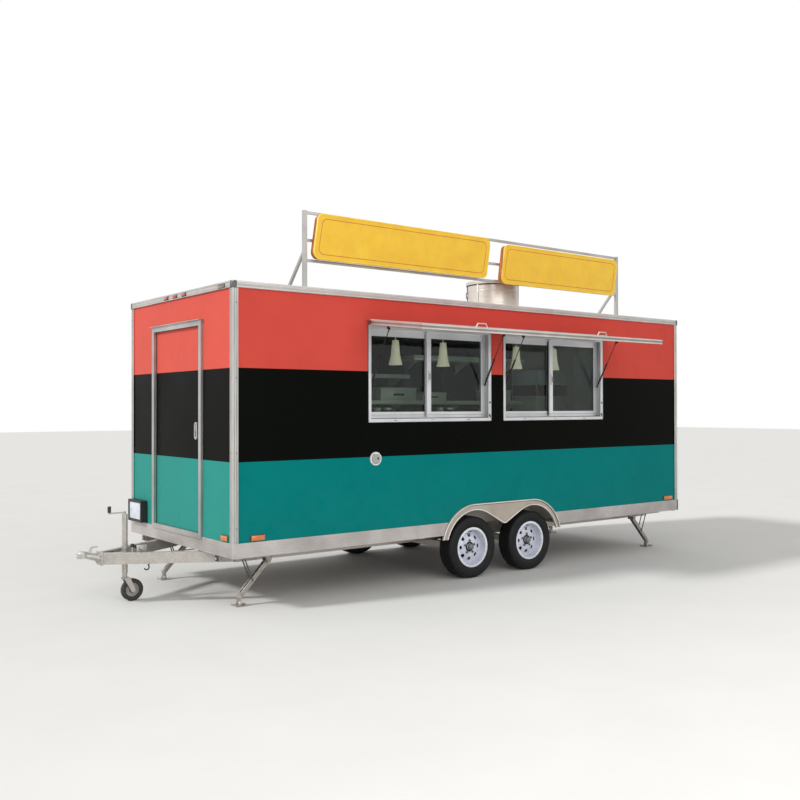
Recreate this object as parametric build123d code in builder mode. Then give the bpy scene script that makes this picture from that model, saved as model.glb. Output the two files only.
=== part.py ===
from build123d import *
from math import acos, atan2, cos, degrees, hypot, radians, sin, sqrt, tan
import os

# A towed concession trailer, in millimetres. +X runs to the rear, +Z is up, the serving side faces -Y,
# and the floor it stands on is z = 0.

# Body box, over its wall panels
body_length = 5825
body_width = 2120
wall = 50
floor_bottom = 490
floor_top = 548
wall_top = 2640
roof_thickness = 45
trim = 5

# Skirt and rails
skirt_bottom = 448
skirt_top = 568
skirt_thickness = 8
skirt_rib = 3
rail_drop = 6
rail_lip = 8
rail_inward = 60
post_leg = 55
post_round = 8

# Drawbar and coupling, from the front wall
tip_reach = 896
ball_reach = 852
ball_radius = 25
beam_bottom = 345
beam_height = 95
beam_width = 50
beam_wall = 5
beam_front_reach = 700
beam_half_gap = 12
beam_end_reach = 240
rail_from_side = 420
head_height = 56
head_round = 16
socket_drop = 26
socket_length = 30
neck_front = (36, 24)
neck_back = (47, 35)
coupling_plate = (10, 20, 16, 10)
handle_width = 18

# Chassis
rail_width = 60
member_height = floor_bottom - beam_bottom - beam_height
member_width = 50
member_pitch = 640

# Wheels and axles
tyre_radius = 300
tyre_width = 177
rim_radius = 178
flange_radius = 194
wheel_inset = 12
shoulder = 18
bead = 14
disc_in = 62
axle_front = 2600
axle_pitch = 787
axle_beam = 60
axle_arm = 150
arm_plate = 28
arm_clear = 44
arm_boss = 48
arm_end = 38
arm_depth = (30, 34)
spindle_in = 30
spindle_radius = 22
hub_radius = 36
drum_radius = 112
hub_flange = 78
wheel_bore = 46
window_count = 8
window_centre = 113
window_size = (44, 32)
window_side_angle = 74
window_corner = 7
run_gap = 0.3

# Wheel boxes and fenders
box_radius = 402
box_wall = 5
box_depth = 290
fender_outer = box_radius + 23
fender_inner = box_radius - 39
fender_end = 405
dip_bottom = 509
dip_radius = 60
fender_plate = 14
fender_lip = 26
lip_width = 12
lip_round = 5

# Serving windows
casing_bottom = 1531
casing_top = 2405
casing_flange = 30
casing_proud = 6
casing_depth = 104
casing_board = 10
sash_depth = 26
sash_frame = 52
sash_sill = 62
stile_overlap = 55
glass_thickness = 6
sash_corner = 18
windows = ((1335, 2823), (2992, 4494))

# Serving hatch
hatch_start = 1318
hatch_end = 4508
hatch_length = 736
hatch_thickness = 45
hatch_skin = 18
hatch_rim = 45
hatch_groove = (14, 31)
hatch_groove_depth = 4
hatch_droop = 6.7
hinge_height = 2441
hinge_gap = 7
knuckle_radius = 6
hinge_pin = 3
knuckle_count = 11
handle_places = (1986, 3569)

# Gas struts
strut_side = 26
barrel_radius = 9
rod_radius = 4
eye_radius = 9
anchor_height = 1888
anchor_depth = 24
top_reach = 190
top_depth = 66
pin_radius = 4
pin_past = 8
eye_length = 14
end_fitting = (6, 26)
barrel_start = 24
bore_start = 40
rod_overlap = 30
bracket_half = 30
bracket_plate = 5
bracket_past = 9

# Door
door_near = body_width / 2 - 511
door_far = body_width / 2 + 528
door_bottom = 548
door_top = 2412
door_face = 45
door_jamb = 18
door_proud = 22
door_gap = 5
door_leaf = 34
latch_place = (door_near + 123, 1466)
door_barrel = 6
door_pin = 3
door_hinge_heights = (760, 1480, 2200)
door_hinge_length = 90
drip_cap = (20, 12, 6)
hinge_leaf = 4
latch_ring = ((150, 56), (110, 24), 20)

# Jockey wheel
jockey_reach = 485
jockey_tube = 24
jockey_tube_top = 742
jockey_tube_bottom = 245
stem_radius = 20
crank_rise = 22
crank_rod = 6
crank_reach = 136
grip_radius = 13
grip_length = 52
fork_trail = 64
jockey_radius = 95
jockey_width = 52
fork_top = 206
fork_crown = (30, 14)
fork_half = 37
fork_reach = 36
fork_plate = 6
jockey_axle = 7
clamp_half = 30
clamp_low = 30
clamp_height = 40
stem_length = 420

# Corner legs
leg_from_side = 290
leg_from_end = 470
leg_length = 388
leg_pivot = 356
leg_width = 42
leg_depth = 36
base_height = 48
base_length = 560
foot_length = 96
foot_width = 110
foot_plate = 6
foot_z = 74
channel_wall = 4
base_width = 80
base_wall = 5
base_ear = 34
leg_pin = 8
brace_along = 215
brace_top_run = 235
brace_pin = 4
brace_strap = (10, 6)
brace_eye = 7

# Roof
vent_radius = 288
vent_height = 375
vent_wall = 4
vent_flange = (20, 12)
vent_cap = (10, 38)
vent_place = (3700, 900)
sign_depth = 300
sign_posts = (858, 5100)
sign_height = 727
sign_rail_shares = (0.392, 0.64)
sign_tube = 34
sign_rail = 24
sign_brace = 32
sign_brace_share = 0.494
sign_brace_run = 320
sign_foot = 90
sign_boards = ((905, 3040, 15, 27), (3190, 5035, -20, 62))
board_thickness = 60
board_slant = 60

# Small fittings
lamp_low = skirt_top + 10
lamp_height = 50
lamp_proud = 16
side_lamps = ((152, 284), (body_length - 262, body_length - 105))
front_lamp = (80, 200)
id_lamp_pitch = 187
id_lamp_size = (70, 22)
tail_lamp = (180, 120)
tail_lamp_inset = 90
plate_from_far = (60, 375)
plate_low = skirt_top + 7
plate_height = 205
plate_proud = 66
plate_rim = 20
inlet_place = (1411, 1205)
inlet_steps = ((62, 14), (46, 8))
pendant_places = (2020, 2630, 3670, 4255)
pendant_from_side = 500
pendant_z = 2080
pendant_profile = ((0, 246), (32, 240), (46, 90), (68, 0), (64, 0), (42, 90), (28, 232), (0, 236))
pendant_rod = (4, 240)

# Inside: counter, bench, shelves and a tall unit, each as start, end, depth from its wall, low, high
counter_span = (1150, 4650)
counter_top = (1480, 1510)
counter_depth = 500
counter_shelf = 760
unit_end = body_length - 775
tall_unit = (body_length - 675, body_length - 125)
far_units = ((1150, unit_end, 450, 760, 1440), (1150, 3200, 300, 2000, 2024),
             (3246, unit_end, 320, 2218, 2278), (1150, unit_end, 300, 1700, 1724),
             (*tall_unit, 450, floor_top, 2140))

# The frame's origin is at the middle of the whole trailer, on the ground
rear_proud = 28
far_proud = fender_lip
hatch_reach = hinge_gap + casing_proud + hatch_thickness
hatch_out = hatch_reach + hatch_length * cos(radians(hatch_droop))
front_x = (tip_reach - body_length - rear_proud) / 2
serving_y = (hatch_out - body_width - far_proud) / 2
rear_x = front_x + body_length
far_y = serving_y + body_width
middle_y = (serving_y + far_y) / 2
half_width = body_width / 2
axles = (front_x + axle_front, front_x + axle_front + axle_pitch)
wheel_z = tyre_radius
roof_top = wall_top + roof_thickness
sign_top = roof_top + sign_height
sign_rails = [roof_top + share * sign_height for share in sign_rail_shares]


def side_plane(y):
    """A plane square to Y, seen from the serving side: its x is X and its y is Z."""
    return Plane.XZ.offset(-y)


def cross_plane(x):
    """A plane square to X: its x is Y and its y is Z."""
    return Plane.YZ.offset(x)


def rectangle(a0, a1, b0, b1, mode=Mode.ADD):
    with Locations(((a0 + a1) / 2, (b0 + b1) / 2)):
        Rectangle(a1 - a0, b1 - b0, mode=mode)


def ring(outset, inset, corner=0):
    """The body's plan outline as a ring, from outset beyond the panels to inset within them."""
    with Locations(((front_x + rear_x) / 2, middle_y)):
        if corner:
            RectangleRounded(body_length + 2 * outset, body_width + 2 * outset, corner)
        else:
            Rectangle(body_length + 2 * outset, body_width + 2 * outset)
        Rectangle(body_length - 2 * inset, body_width - 2 * inset, mode=Mode.SUBTRACT)


def save(piece, name):
    piece.part.label = name
    export_step(piece.part, f"parts/{name}.step")


def well_outline(radius, bottom, mode=Mode.ADD):
    """Two wheel circles joined over the top, open downwards."""
    with Locations(*[(x, wheel_z) for x in axles]):
        Circle(radius, mode=mode)
    rectangle(axles[0], axles[1], wheel_z, wheel_z + radius, mode)
    rectangle(axles[0] - radius, axles[1] + radius, bottom, wheel_z, mode)


os.makedirs("parts", exist_ok=True)

# Floor, cut out over the wheels
with BuildPart() as floor:
    with BuildSketch(Plane.XY.offset(floor_bottom)):
        rectangle(front_x, rear_x, serving_y, far_y)
        for y0, y1 in ((serving_y, serving_y + box_depth), (far_y - box_depth, far_y)):
            rectangle(axles[0] - box_radius, axles[1] + box_radius, y0, y1, Mode.SUBTRACT)
    extrude(amount=floor_top - floor_bottom)
save(floor, "floor")

# Walls
with BuildPart() as wall_serving:
    with BuildSketch(side_plane(serving_y + wall)):
        rectangle(front_x, rear_x, floor_top, wall_top)
        for start, end in windows:
            rectangle(front_x + start + casing_flange - casing_board,
                      front_x + end - casing_flange + casing_board,
                      casing_bottom + casing_flange - casing_board,
                      casing_top - casing_flange + casing_board, Mode.SUBTRACT)
        well_outline(box_radius, floor_bottom, Mode.SUBTRACT)
    extrude(amount=wall)
save(wall_serving, "wall_serving")

with BuildPart() as wall_far:
    with BuildSketch(side_plane(far_y)):
        rectangle(front_x, rear_x, floor_top, wall_top)
        well_outline(box_radius, floor_bottom, Mode.SUBTRACT)
    extrude(amount=wall)
save(wall_far, "wall_far")

with BuildPart() as wall_front:
    with BuildSketch(cross_plane(front_x)):
        rectangle(serving_y + wall, far_y - wall, floor_top, wall_top)
        rectangle(serving_y + door_near, serving_y + door_far, floor_top, door_top, Mode.SUBTRACT)
    extrude(amount=wall)
save(wall_front, "wall_front")

with BuildPart() as wall_rear:
    with BuildSketch(cross_plane(rear_x - wall)):
        rectangle(serving_y + wall, far_y - wall, floor_top, wall_top)
    extrude(amount=wall)
save(wall_rear, "wall_rear")

# Roof, its edge rail and the corner posts
with BuildPart() as roof:
    with BuildSketch(Plane.XY.offset(wall_top)):
        rectangle(front_x, rear_x, serving_y, far_y)
    extrude(amount=roof_thickness)
save(roof, "roof")

with BuildPart() as roof_rail:
    with BuildSketch(Plane.XY.offset(wall_top - rail_drop)):
        ring(trim + rail_lip, 0, 12)
    extrude(amount=roof_thickness + rail_drop)
    with BuildSketch(Plane.XY.offset(roof_top)):
        ring(trim + rail_lip, rail_inward, 12)
    extrude(amount=trim)
save(roof_rail, "roof_rail")

with BuildPart() as corner_posts:
    for x, out_x in ((front_x, -1), (rear_x, 1)):
        for y, out_y in ((serving_y, -1), (far_y, 1)):
            with BuildSketch(Plane.XY.offset(skirt_top)):
                xs = sorted((x + out_x * trim, x - out_x * post_leg))
                ys = sorted((y + out_y * trim, y - out_y * post_leg))
                rectangle(*xs, *ys)
                outer = (x + out_x * trim, y + out_y * trim, skirt_top)
                fillet(vertices().sort_by_distance(outer)[0], post_round)
                xs = sorted((x, x - out_x * (post_leg + 1)))
                ys = sorted((y, y - out_y * (post_leg + 1)))
                rectangle(*xs, *ys, Mode.SUBTRACT)
            extrude(amount=wall_top - rail_drop - skirt_top)
save(corner_posts, "corner_posts")

# Ribbed skirt round the floor's edge, open at the fenders
rib_pitch = (skirt_top - skirt_bottom) / 6
with BuildPart() as skirt:
    with BuildSketch(Plane.XY.offset(skirt_bottom)):
        ring(skirt_thickness, 0, 8)
    extrude(amount=skirt_top - skirt_bottom)
    for count in range(6):
        with BuildSketch(Plane.XY.offset(skirt_bottom + count * rib_pitch)):
            ring(skirt_thickness + skirt_rib, 0, 10)
        extrude(amount=rib_pitch / 2)
    with BuildSketch(side_plane(far_y + 2 * wall)):
        well_outline(fender_outer + 1, skirt_bottom - 1)
    extrude(amount=body_width + 4 * wall, mode=Mode.SUBTRACT)
    with BuildSketch(cross_plane(front_x - wall)):
        rectangle(serving_y + door_near, serving_y + door_far, door_bottom, skirt_top)
    extrude(amount=wall, mode=Mode.SUBTRACT)
save(skirt, "skirt")

# Chassis: two long rails, with cross members on them
rail_ys = (serving_y + rail_from_side + rail_width / 2, far_y - rail_from_side - rail_width / 2)
rail_start = front_x + beam_end_reach
member_count = int(body_length / member_pitch)
member_step = (body_length - 2 * member_width) / member_count
with BuildPart() as chassis:
    with BuildSketch(cross_plane(rail_start)):
        for y in rail_ys:
            with Locations((y, beam_bottom + beam_height / 2)):
                Rectangle(rail_width, beam_height)
                Rectangle(rail_width - 2 * beam_wall, beam_height - 2 * beam_wall, mode=Mode.SUBTRACT)
    extrude(amount=rear_x - rail_start - member_width)
save(chassis, "chassis")

with BuildPart() as cross_members:
    for index in range(member_count + 1):
        x = front_x + member_width + index * member_step
        beside_wheels = axles[0] - box_radius - member_width < x < axles[1] + box_radius + member_width
        inset = box_depth + trim if beside_wheels else trim
        with BuildSketch(Plane.XY.offset(floor_bottom - member_height)):
            rectangle(x - member_width / 2, x + member_width / 2, serving_y + inset, far_y - inset)
        extrude(amount=member_height)
save(cross_members, "cross_members")

# A-frame drawbar: two tubes that spread from the coupling to the rails
beam_start = Vector(front_x - beam_front_reach, beam_half_gap + beam_width / 2, 0)
beam_end = Vector(rail_start + member_width, half_width - rail_from_side - rail_width / 2, 0)
beam_angle = degrees(atan2(beam_end.Y - beam_start.Y, beam_end.X - beam_start.X))
beam_run = (beam_end - beam_start).length
with BuildPart() as drawbar:
    for side in (-1, 1):
        start = (beam_start.X, middle_y + side * beam_start.Y, beam_bottom + beam_height / 2)
        along = (cos(radians(beam_angle)), side * sin(radians(beam_angle)), 0)
        across = (-side * sin(radians(beam_angle)), cos(radians(beam_angle)), 0)
        back = Vector(*start) - Vector(*along) * beam_width
        with BuildSketch(Plane(origin=back, x_dir=across, z_dir=along)):
            Rectangle(beam_width, beam_height)
            Rectangle(beam_width - 2 * beam_wall, beam_height - 2 * beam_wall, mode=Mode.SUBTRACT)
        extrude(amount=beam_run + beam_width)
    with BuildSketch(Plane.XY.offset(beam_bottom)):
        rectangle(rail_start, rear_x, serving_y, far_y)
    extrude(amount=beam_height, mode=Mode.SUBTRACT)
    with BuildSketch(Plane.XY.offset(beam_bottom)):
        rectangle(front_x - 2 * beam_front_reach, front_x - beam_front_reach, serving_y, far_y)
    extrude(amount=beam_height, mode=Mode.SUBTRACT)
save(drawbar, "drawbar")

# Coupling: a cast head with a ball socket, on a plate across the beams
ball = Vector(front_x - ball_reach, middle_y, beam_bottom + beam_height - 8)
head_radius = tip_reach - ball_reach
socket_low = ball.Z - socket_drop
plate_thickness, plate_side, plate_rise, plate_round = coupling_plate
with BuildPart() as coupling:
    with BuildSketch(Plane.XY.offset(socket_low)):
        with Locations((ball.X, ball.Y)):
            Circle(head_radius)
    extrude(amount=head_height)
    fillet(coupling.faces().sort_by(Axis.Z)[-1].edges(), head_round)
    plate_x = front_x - beam_front_reach
    with BuildSketch(cross_plane(ball.X)):
        with Locations((ball.Y, ball.Z + 2)):
            Ellipse(*neck_front)
    with BuildSketch(cross_plane(plate_x - 8)):
        with Locations((ball.Y, beam_bottom + beam_height / 2 + 4)):
            Ellipse(*neck_back)
    loft()
    with BuildSketch(cross_plane(plate_x - plate_thickness)):
        with Locations((ball.Y, beam_bottom + beam_height / 2)):
            RectangleRounded(2 * (beam_half_gap + beam_width) + plate_side, beam_height + plate_rise,
                             plate_round)
    extrude(amount=plate_thickness)
    with BuildSketch(Plane.XY.offset(socket_low)):
        with Locations((ball.X, ball.Y)):
            Circle(ball_radius + run_gap)
    extrude(amount=socket_length, mode=Mode.SUBTRACT)
    with BuildSketch(Plane.XY.offset(socket_low)):
        with Locations((ball.X, ball.Y)):
            Rectangle(2 * head_radius, 3 * head_radius)
    extrude(amount=-head_height, mode=Mode.SUBTRACT)
    with BuildSketch(side_plane(ball.Y + handle_width / 2)):
        with BuildLine():
            Polyline((ball.X + 44, ball.Z + 18), (ball.X + 70, ball.Z + 62), (ball.X + 130, ball.Z + 66),
                     (ball.X + 132, ball.Z + 54), (ball.X + 84, ball.Z + 48), (ball.X + 72, ball.Z + 10),
                     close=True)
        make_face()
    extrude(amount=handle_width)
save(coupling, "coupling")

# Axles: a square beam under the rails, with a trailing arm and a spindle at each end
arm_from_side = wheel_inset + tyre_width + arm_clear
with BuildPart() as axle_beams:
    for x in axles:
        beam_x = x - axle_arm
        with BuildSketch(side_plane(far_y - arm_from_side)):
            with Locations((beam_x, beam_bottom - axle_beam / 2)):
                Rectangle(axle_beam, axle_beam)
        extrude(amount=body_width - 2 * arm_from_side)
        for y0, y1 in ((serving_y + arm_from_side, serving_y + arm_from_side + arm_plate),
                       (far_y - arm_from_side - arm_plate, far_y - arm_from_side)):
            with BuildSketch(side_plane(y1)):
                with Locations((beam_x, beam_bottom - axle_beam / 2)):
                    Circle(arm_boss)
                with Locations((x, wheel_z)):
                    Circle(arm_end)
                rectangle(beam_x, x, wheel_z - arm_depth[0], wheel_z + arm_depth[1])
            extrude(amount=y1 - y0)
        for y0, y1 in ((serving_y + wheel_inset + spindle_in, serving_y + arm_from_side),
                       (far_y - arm_from_side, far_y - wheel_inset - spindle_in)):
            with BuildSketch(side_plane(y1)):
                with Locations((x, wheel_z)):
                    Circle(spindle_radius)
            extrude(amount=y1 - y0)
save(axle_beams, "axles")


# Wheels. Each profile is (distance in from the wheel's outer face, radius), revolved about the spindle.
def wheel_profile(points):
    with BuildLine() as outline:
        Polyline(*points, close=True)
    make_face(outline.edges())


wheels = (("front_serving", axles[0], serving_y + wheel_inset, 1),
          ("front_far", axles[0], far_y - wheel_inset, -1),
          ("rear_serving", axles[1], serving_y + wheel_inset, 1),
          ("rear_far", axles[1], far_y - wheel_inset, -1))
for name, x, face_y, inward in wheels:
    wheel_plane = Plane(origin=(x, face_y, wheel_z), x_dir=(0, inward, 0), z_dir=(inward, 0, 0))
    with BuildPart() as tyre:
        with BuildSketch(wheel_plane):
            wheel_profile(((bead + 3, rim_radius), (bead + 2, flange_radius + 1), (4, rim_radius + 42),
                           (0, rim_radius + 70), (6, tyre_radius - 22), (shoulder, tyre_radius - 5),
                           (shoulder + 22, tyre_radius), (tyre_width - shoulder - 22, tyre_radius),
                           (tyre_width - shoulder, tyre_radius - 5), (tyre_width - 6, tyre_radius - 22),
                           (tyre_width, rim_radius + 70), (tyre_width - 4, rim_radius + 42),
                           (tyre_width - bead - 2, flange_radius + 1), (tyre_width - bead - 3, rim_radius)))
        revolve(axis=Axis((x, face_y, wheel_z), (0, 1, 0)))
    save(tyre, f"tyre_{name}")

    with BuildPart() as rim:
        with BuildSketch(wheel_plane):
            wheel_profile(((bead - 4, rim_radius - 6), (bead - 4, flange_radius), (bead + 1, flange_radius),
                           (bead + 1.5, rim_radius - run_gap),
                           (tyre_width - bead - 1.5, rim_radius - run_gap),
                           (tyre_width - bead - 1, flange_radius), (tyre_width - bead + 4, flange_radius),
                           (tyre_width - bead + 4, rim_radius - 6), (disc_in + 34, rim_radius - 10),
                           (disc_in + 24, 128), (disc_in + 6, 96), (disc_in + 6, hub_flange),
                           (disc_in + 26, hub_flange), (disc_in + 26, hub_radius),
                           (disc_in + 116, hub_radius), (disc_in + 116, spindle_radius + run_gap),
                           (disc_in - 32, spindle_radius + run_gap), (disc_in - 34, 0), (disc_in - 40, 0),
                           (disc_in - 40, 17), (disc_in - 35, 27), (disc_in - 10, 28),
                           (disc_in - 8, 31), (disc_in + 14, 31), (disc_in + 14, wheel_bore),
                           (disc_in - 4, wheel_bore), (disc_in - 2, 96),
                           (disc_in + 14, 134), (disc_in + 22, rim_radius - 16),
                           (bead + 16, rim_radius - 10)))
        revolve(axis=Axis((x, face_y, wheel_z), (0, 1, 0)))
        with BuildSketch(Plane(origin=(x, face_y, wheel_z), x_dir=(1, 0, 0), z_dir=(0, inward, 0))):
            with PolarLocations(window_centre, window_count):
                Trapezoid(*window_size, window_side_angle, rotation=90)
            fillet(vertices(), window_corner)
        extrude(amount=disc_in + 30, mode=Mode.SUBTRACT)
        with BuildSketch(wheel_plane):
            rectangle(disc_in + 60, disc_in + 112, hub_radius - 1, drum_radius)
        revolve(axis=Axis((x, face_y, wheel_z), (0, 1, 0)))
    save(rim, f"rim_{name}")

# Wheel boxes that close the body over the wheels
with BuildPart() as wheel_boxes:
    for outer_y, inward in ((serving_y, 1), (far_y, -1)):
        near_y, back_y = outer_y, outer_y + inward * box_depth
        with BuildSketch(side_plane(max(near_y, back_y))):
            well_outline(box_radius, floor_bottom)
            well_outline(box_radius - box_wall, floor_bottom - 1, Mode.SUBTRACT)
        extrude(amount=box_depth)
        with BuildSketch(side_plane(max(back_y, back_y - inward * box_wall))):
            well_outline(box_radius, floor_bottom)
        extrude(amount=box_wall)
    with BuildSketch(Plane.XY.offset(-2 * box_radius)):
        rectangle(front_x, rear_x, serving_y, far_y)
    extrude(amount=2 * box_radius + floor_bottom, mode=Mode.SUBTRACT)
save(wheel_boxes, "wheel_boxes")

# Fenders: one plate over each pair of wheels, with a dip between its two arches
half_pitch = axle_pitch / 2
group_x = (axles[0] + axles[1]) / 2
dip_centre = dip_bottom + dip_radius


def fender_outline(outer, inner, tip, mode=Mode.ADD):
    """The fender's plate in the side plane: two outer arcs, two arches and the rounded dip."""
    left, right = axles
    foot_in = degrees(acos(-sqrt(inner ** 2 - (fender_end - wheel_z) ** 2) / inner))
    foot_out = degrees(acos(-sqrt(outer ** 2 - (fender_end - wheel_z) ** 2) / outer))
    turn = atan2(half_pitch, dip_centre - wheel_z)
    turn = degrees(turn - acos((inner + tip) / hypot(half_pitch, dip_centre - wheel_z)))
    with BuildLine() as outline:
        outer_left = CenterArc((left, wheel_z), outer, foot_out, 90 - foot_out)
        outer_right = CenterArc((right, wheel_z), outer, 90, 90 - foot_out)
        arch_left = CenterArc((left, wheel_z), inner, foot_in, 90 - turn - foot_in)
        arch_right = CenterArc((right, wheel_z), inner, 180 - foot_in, foot_in - 90 + turn)
        dip = CenterArc((group_x, dip_centre), tip, 270 - turn, 2 * turn)
        Line(outer_left @ 1, outer_right @ 0)
        Line(outer_left @ 0, arch_left @ 0)
        Line(outer_right @ 1, arch_right @ 0)
        Line(arch_left @ 1, dip @ 0)
        Line(arch_right @ 1, dip @ 1)
    make_face(outline.edges(), mode=mode)


with BuildPart() as fenders:
    for outer_y, inward in ((serving_y, 1), (far_y, -1)):
        plate_y = outer_y - inward * fender_plate
        lip_y = outer_y - inward * fender_lip
        with BuildSketch(side_plane(max(outer_y, plate_y))):
            fender_outline(fender_outer, fender_inner, dip_radius)
        extrude(amount=fender_plate)
        with BuildSketch(side_plane(max(outer_y, lip_y))):
            fender_outline(fender_outer, fender_inner, dip_radius)
            fender_outline(fender_outer - lip_width, fender_inner + lip_width, dip_radius - lip_width,
                           Mode.SUBTRACT)
        extrude(amount=fender_lip)
        lip_faces = fenders.faces().filter_by(Axis.Y).filter_by_position(Axis.Y, lip_y - 1, lip_y + 1)
        fillet(lip_faces.edges(), lip_round)
save(fenders, "fenders")

# Window casings: a box frame through the wall with a narrow outer flange, and pins for the gas struts
inner_face = serving_y + casing_depth
anchor = Vector(0, serving_y + anchor_depth, anchor_height)
strut_xs = []
for start, end in windows:
    strut_xs.append((front_x + start + casing_flange + strut_side, -1))
    strut_xs.append((front_x + end - casing_flange - strut_side, 1))
with BuildPart() as window_casings:
    for start, end in windows:
        a0, a1 = front_x + start, front_x + end
        b0, b1 = casing_bottom, casing_top
        hole = (a0 + casing_flange, a1 - casing_flange, b0 + casing_flange, b1 - casing_flange)
        with BuildSketch(side_plane(serving_y)):
            rectangle(a0, a1, b0, b1)
            rectangle(*hole, Mode.SUBTRACT)
        extrude(amount=casing_proud)
        with BuildSketch(side_plane(inner_face)):
            rectangle(hole[0] - casing_board, hole[1] + casing_board, hole[2] - casing_board,
                      hole[3] + casing_board)
            rectangle(*hole, Mode.SUBTRACT)
        extrude(amount=casing_depth)
    for x, wall_side in strut_xs:
        jamb = x + wall_side * strut_side
        with BuildSketch(cross_plane(min(jamb, x - wall_side * pin_past))):
            with Locations((anchor.Y, anchor.Z)):
                Circle(pin_radius)
        extrude(amount=abs(jamb - x + wall_side * pin_past))
save(window_casings, "window_casings")

# Sashes: a fixed pane on the inner track and a sliding one on the outer track
outer_track = serving_y + casing_depth - 2 * sash_depth
sash_spans = []
for start, end in windows:
    a0, a1 = front_x + start + casing_flange, front_x + end - casing_flange
    middle = (a0 + a1) / 2
    sash_spans.append((a0, middle + stile_overlap / 2, outer_track + sash_depth))
    sash_spans.append((middle - stile_overlap / 2, a1, outer_track))
glass_low = casing_bottom + casing_flange + sash_sill
glass_high = casing_top - casing_flange - sash_sill
with BuildPart() as window_sashes:
    for a0, a1, face in sash_spans:
        with BuildSketch(side_plane(face + sash_depth - 1)):
            rectangle(a0, a1, casing_bottom + casing_flange, casing_top - casing_flange)
            if face == outer_track:
                fillet(vertices().group_by(Axis.X)[0], sash_corner)
            rectangle(a0 + sash_frame, a1 - sash_frame, glass_low, glass_high, Mode.SUBTRACT)
        extrude(amount=sash_depth - 1)
save(window_sashes, "window_sashes")

with BuildPart() as window_glass:
    for a0, a1, face in sash_spans:
        with BuildSketch(side_plane(face + sash_depth / 2 + glass_thickness / 2)):
            rectangle(a0 + sash_frame, a1 - sash_frame, glass_low, glass_high)
        extrude(amount=glass_thickness)
save(window_glass, "window_glass")

# Hatch, drawn open
hinge_y = serving_y - hatch_reach
hinge_z = hinge_height
droop = radians(hatch_droop)
outward = (0, -cos(droop), -sin(droop))
downward = (0, sin(droop), -cos(droop))


def hatch_point(x, along, depth):
    """A point on the open hatch: along it from the hinge, and depth below its top face."""
    return Vector(x, hinge_y + along * outward[1] + depth * downward[1],
                  hinge_z + along * outward[2] + depth * downward[2])


hatch_x = (front_x + hatch_start, front_x + hatch_end)
edge_start = knuckle_radius + 2
knuckle_pitch = (hatch_x[1] - hatch_x[0]) / knuckle_count
knuckles = [(hatch_x[0] + i * knuckle_pitch + 0.5, hatch_x[0] + (i + 1) * knuckle_pitch - 0.5)
            for i in range(knuckle_count)]
with BuildPart() as hatch:
    top_plane = Plane(origin=(0, hinge_y, hinge_z), x_dir=(1, 0, 0), z_dir=downward)
    side = 1 if (top_plane.y_dir - Vector(*outward)).length < 1 else -1
    with BuildSketch(top_plane):
        rectangle(*hatch_x, *sorted((side * edge_start, side * hatch_length)))
    extrude(amount=hatch_thickness)
    for x0, x1 in knuckles[1::2]:
        with BuildSketch(cross_plane(x0)):
            with Locations((hinge_y, hinge_z)):
                Circle(knuckle_radius)
            with Locations(Location((hinge_y, hinge_z), degrees(atan2(outward[2], outward[1])))):
                with Locations((edge_start / 2 + 1, 3)):
                    Rectangle(edge_start + 2, 6)
        extrude(amount=x1 - x0)
    with BuildSketch(cross_plane(hatch_x[0])):
        with Locations((hinge_y, hinge_z)):
            Circle(hinge_pin + run_gap)
    extrude(amount=hatch_x[1] - hatch_x[0], mode=Mode.SUBTRACT)
    with BuildSketch(top_plane.offset(hatch_skin)):
        rectangle(hatch_x[0] + hatch_rim, hatch_x[1] - hatch_rim,
                  *sorted((side * (edge_start + hatch_rim), side * (hatch_length - hatch_rim))))
    extrude(amount=hatch_thickness, mode=Mode.SUBTRACT)
    with BuildSketch(top_plane.offset(hatch_groove[0])):
        rectangle(hatch_x[0] - 1, hatch_x[1] + 1, *sorted((side * edge_start, side * (hatch_length + 1))))
        rectangle(hatch_x[0] + hatch_groove_depth, hatch_x[1] - hatch_groove_depth,
                  *sorted((0, side * (hatch_length - hatch_groove_depth))), Mode.SUBTRACT)
    extrude(amount=hatch_groove[1] - hatch_groove[0], mode=Mode.SUBTRACT)
    for place in handle_places:
        with BuildSketch(Plane(origin=hatch_point(front_x + place, hatch_length - 12, 0), x_dir=(1, 0, 0),
                               z_dir=outward)):
            lift = 1 if Plane(origin=(0, 0, 0), x_dir=(1, 0, 0), z_dir=outward).y_dir.Z > 0 else -1
            with BuildLine():
                Polyline((-70, 0), (-48, lift * 38), (48, lift * 38), (70, 0), (60, 0), (42, lift * 29),
                         (-42, lift * 29), (-60, 0), close=True)
            make_face()
        extrude(amount=9)
save(hatch, "hatch")

# Hinge rail above the windows: a wall leaf and an arm that reaches out to the hatch's edge
with BuildPart() as hatch_hinge:
    with BuildSketch(cross_plane(hatch_x[0])):
        rectangle(serving_y - 4, serving_y, casing_top + 6, hinge_z + 40)
        rectangle(hinge_y + knuckle_radius + 2, serving_y, hinge_z, hinge_z + knuckle_radius)
        with Locations((hinge_y, hinge_z)):
            Circle(hinge_pin)
    extrude(amount=hatch_x[1] - hatch_x[0])
    for x0, x1 in knuckles[::2]:
        with BuildSketch(cross_plane(x0)):
            with Locations((hinge_y, hinge_z)):
                Circle(knuckle_radius)
            rectangle(hinge_y, hinge_y + knuckle_radius + 3, hinge_z, hinge_z + knuckle_radius)
        extrude(amount=x1 - x0)
save(hatch_hinge, "hatch_hinge")

# Gas struts: barrels turn on pins in the casings, rods slide out of them to the hatch
top = hatch_point(0, top_reach, top_depth)
strut_vector = top - anchor
strut_length = strut_vector.length
strut_dir = strut_vector.normalized()
closed_length = (hinge_z - top_reach) - anchor_height
barrel_length = closed_length - 80


def strut_plane(x, distance):
    origin = (x, anchor.Y + strut_dir.Y * distance, anchor.Z + strut_dir.Z * distance)
    return Plane(origin=origin, x_dir=(1, 0, 0), z_dir=(0, strut_dir.Y, strut_dir.Z))


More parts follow.
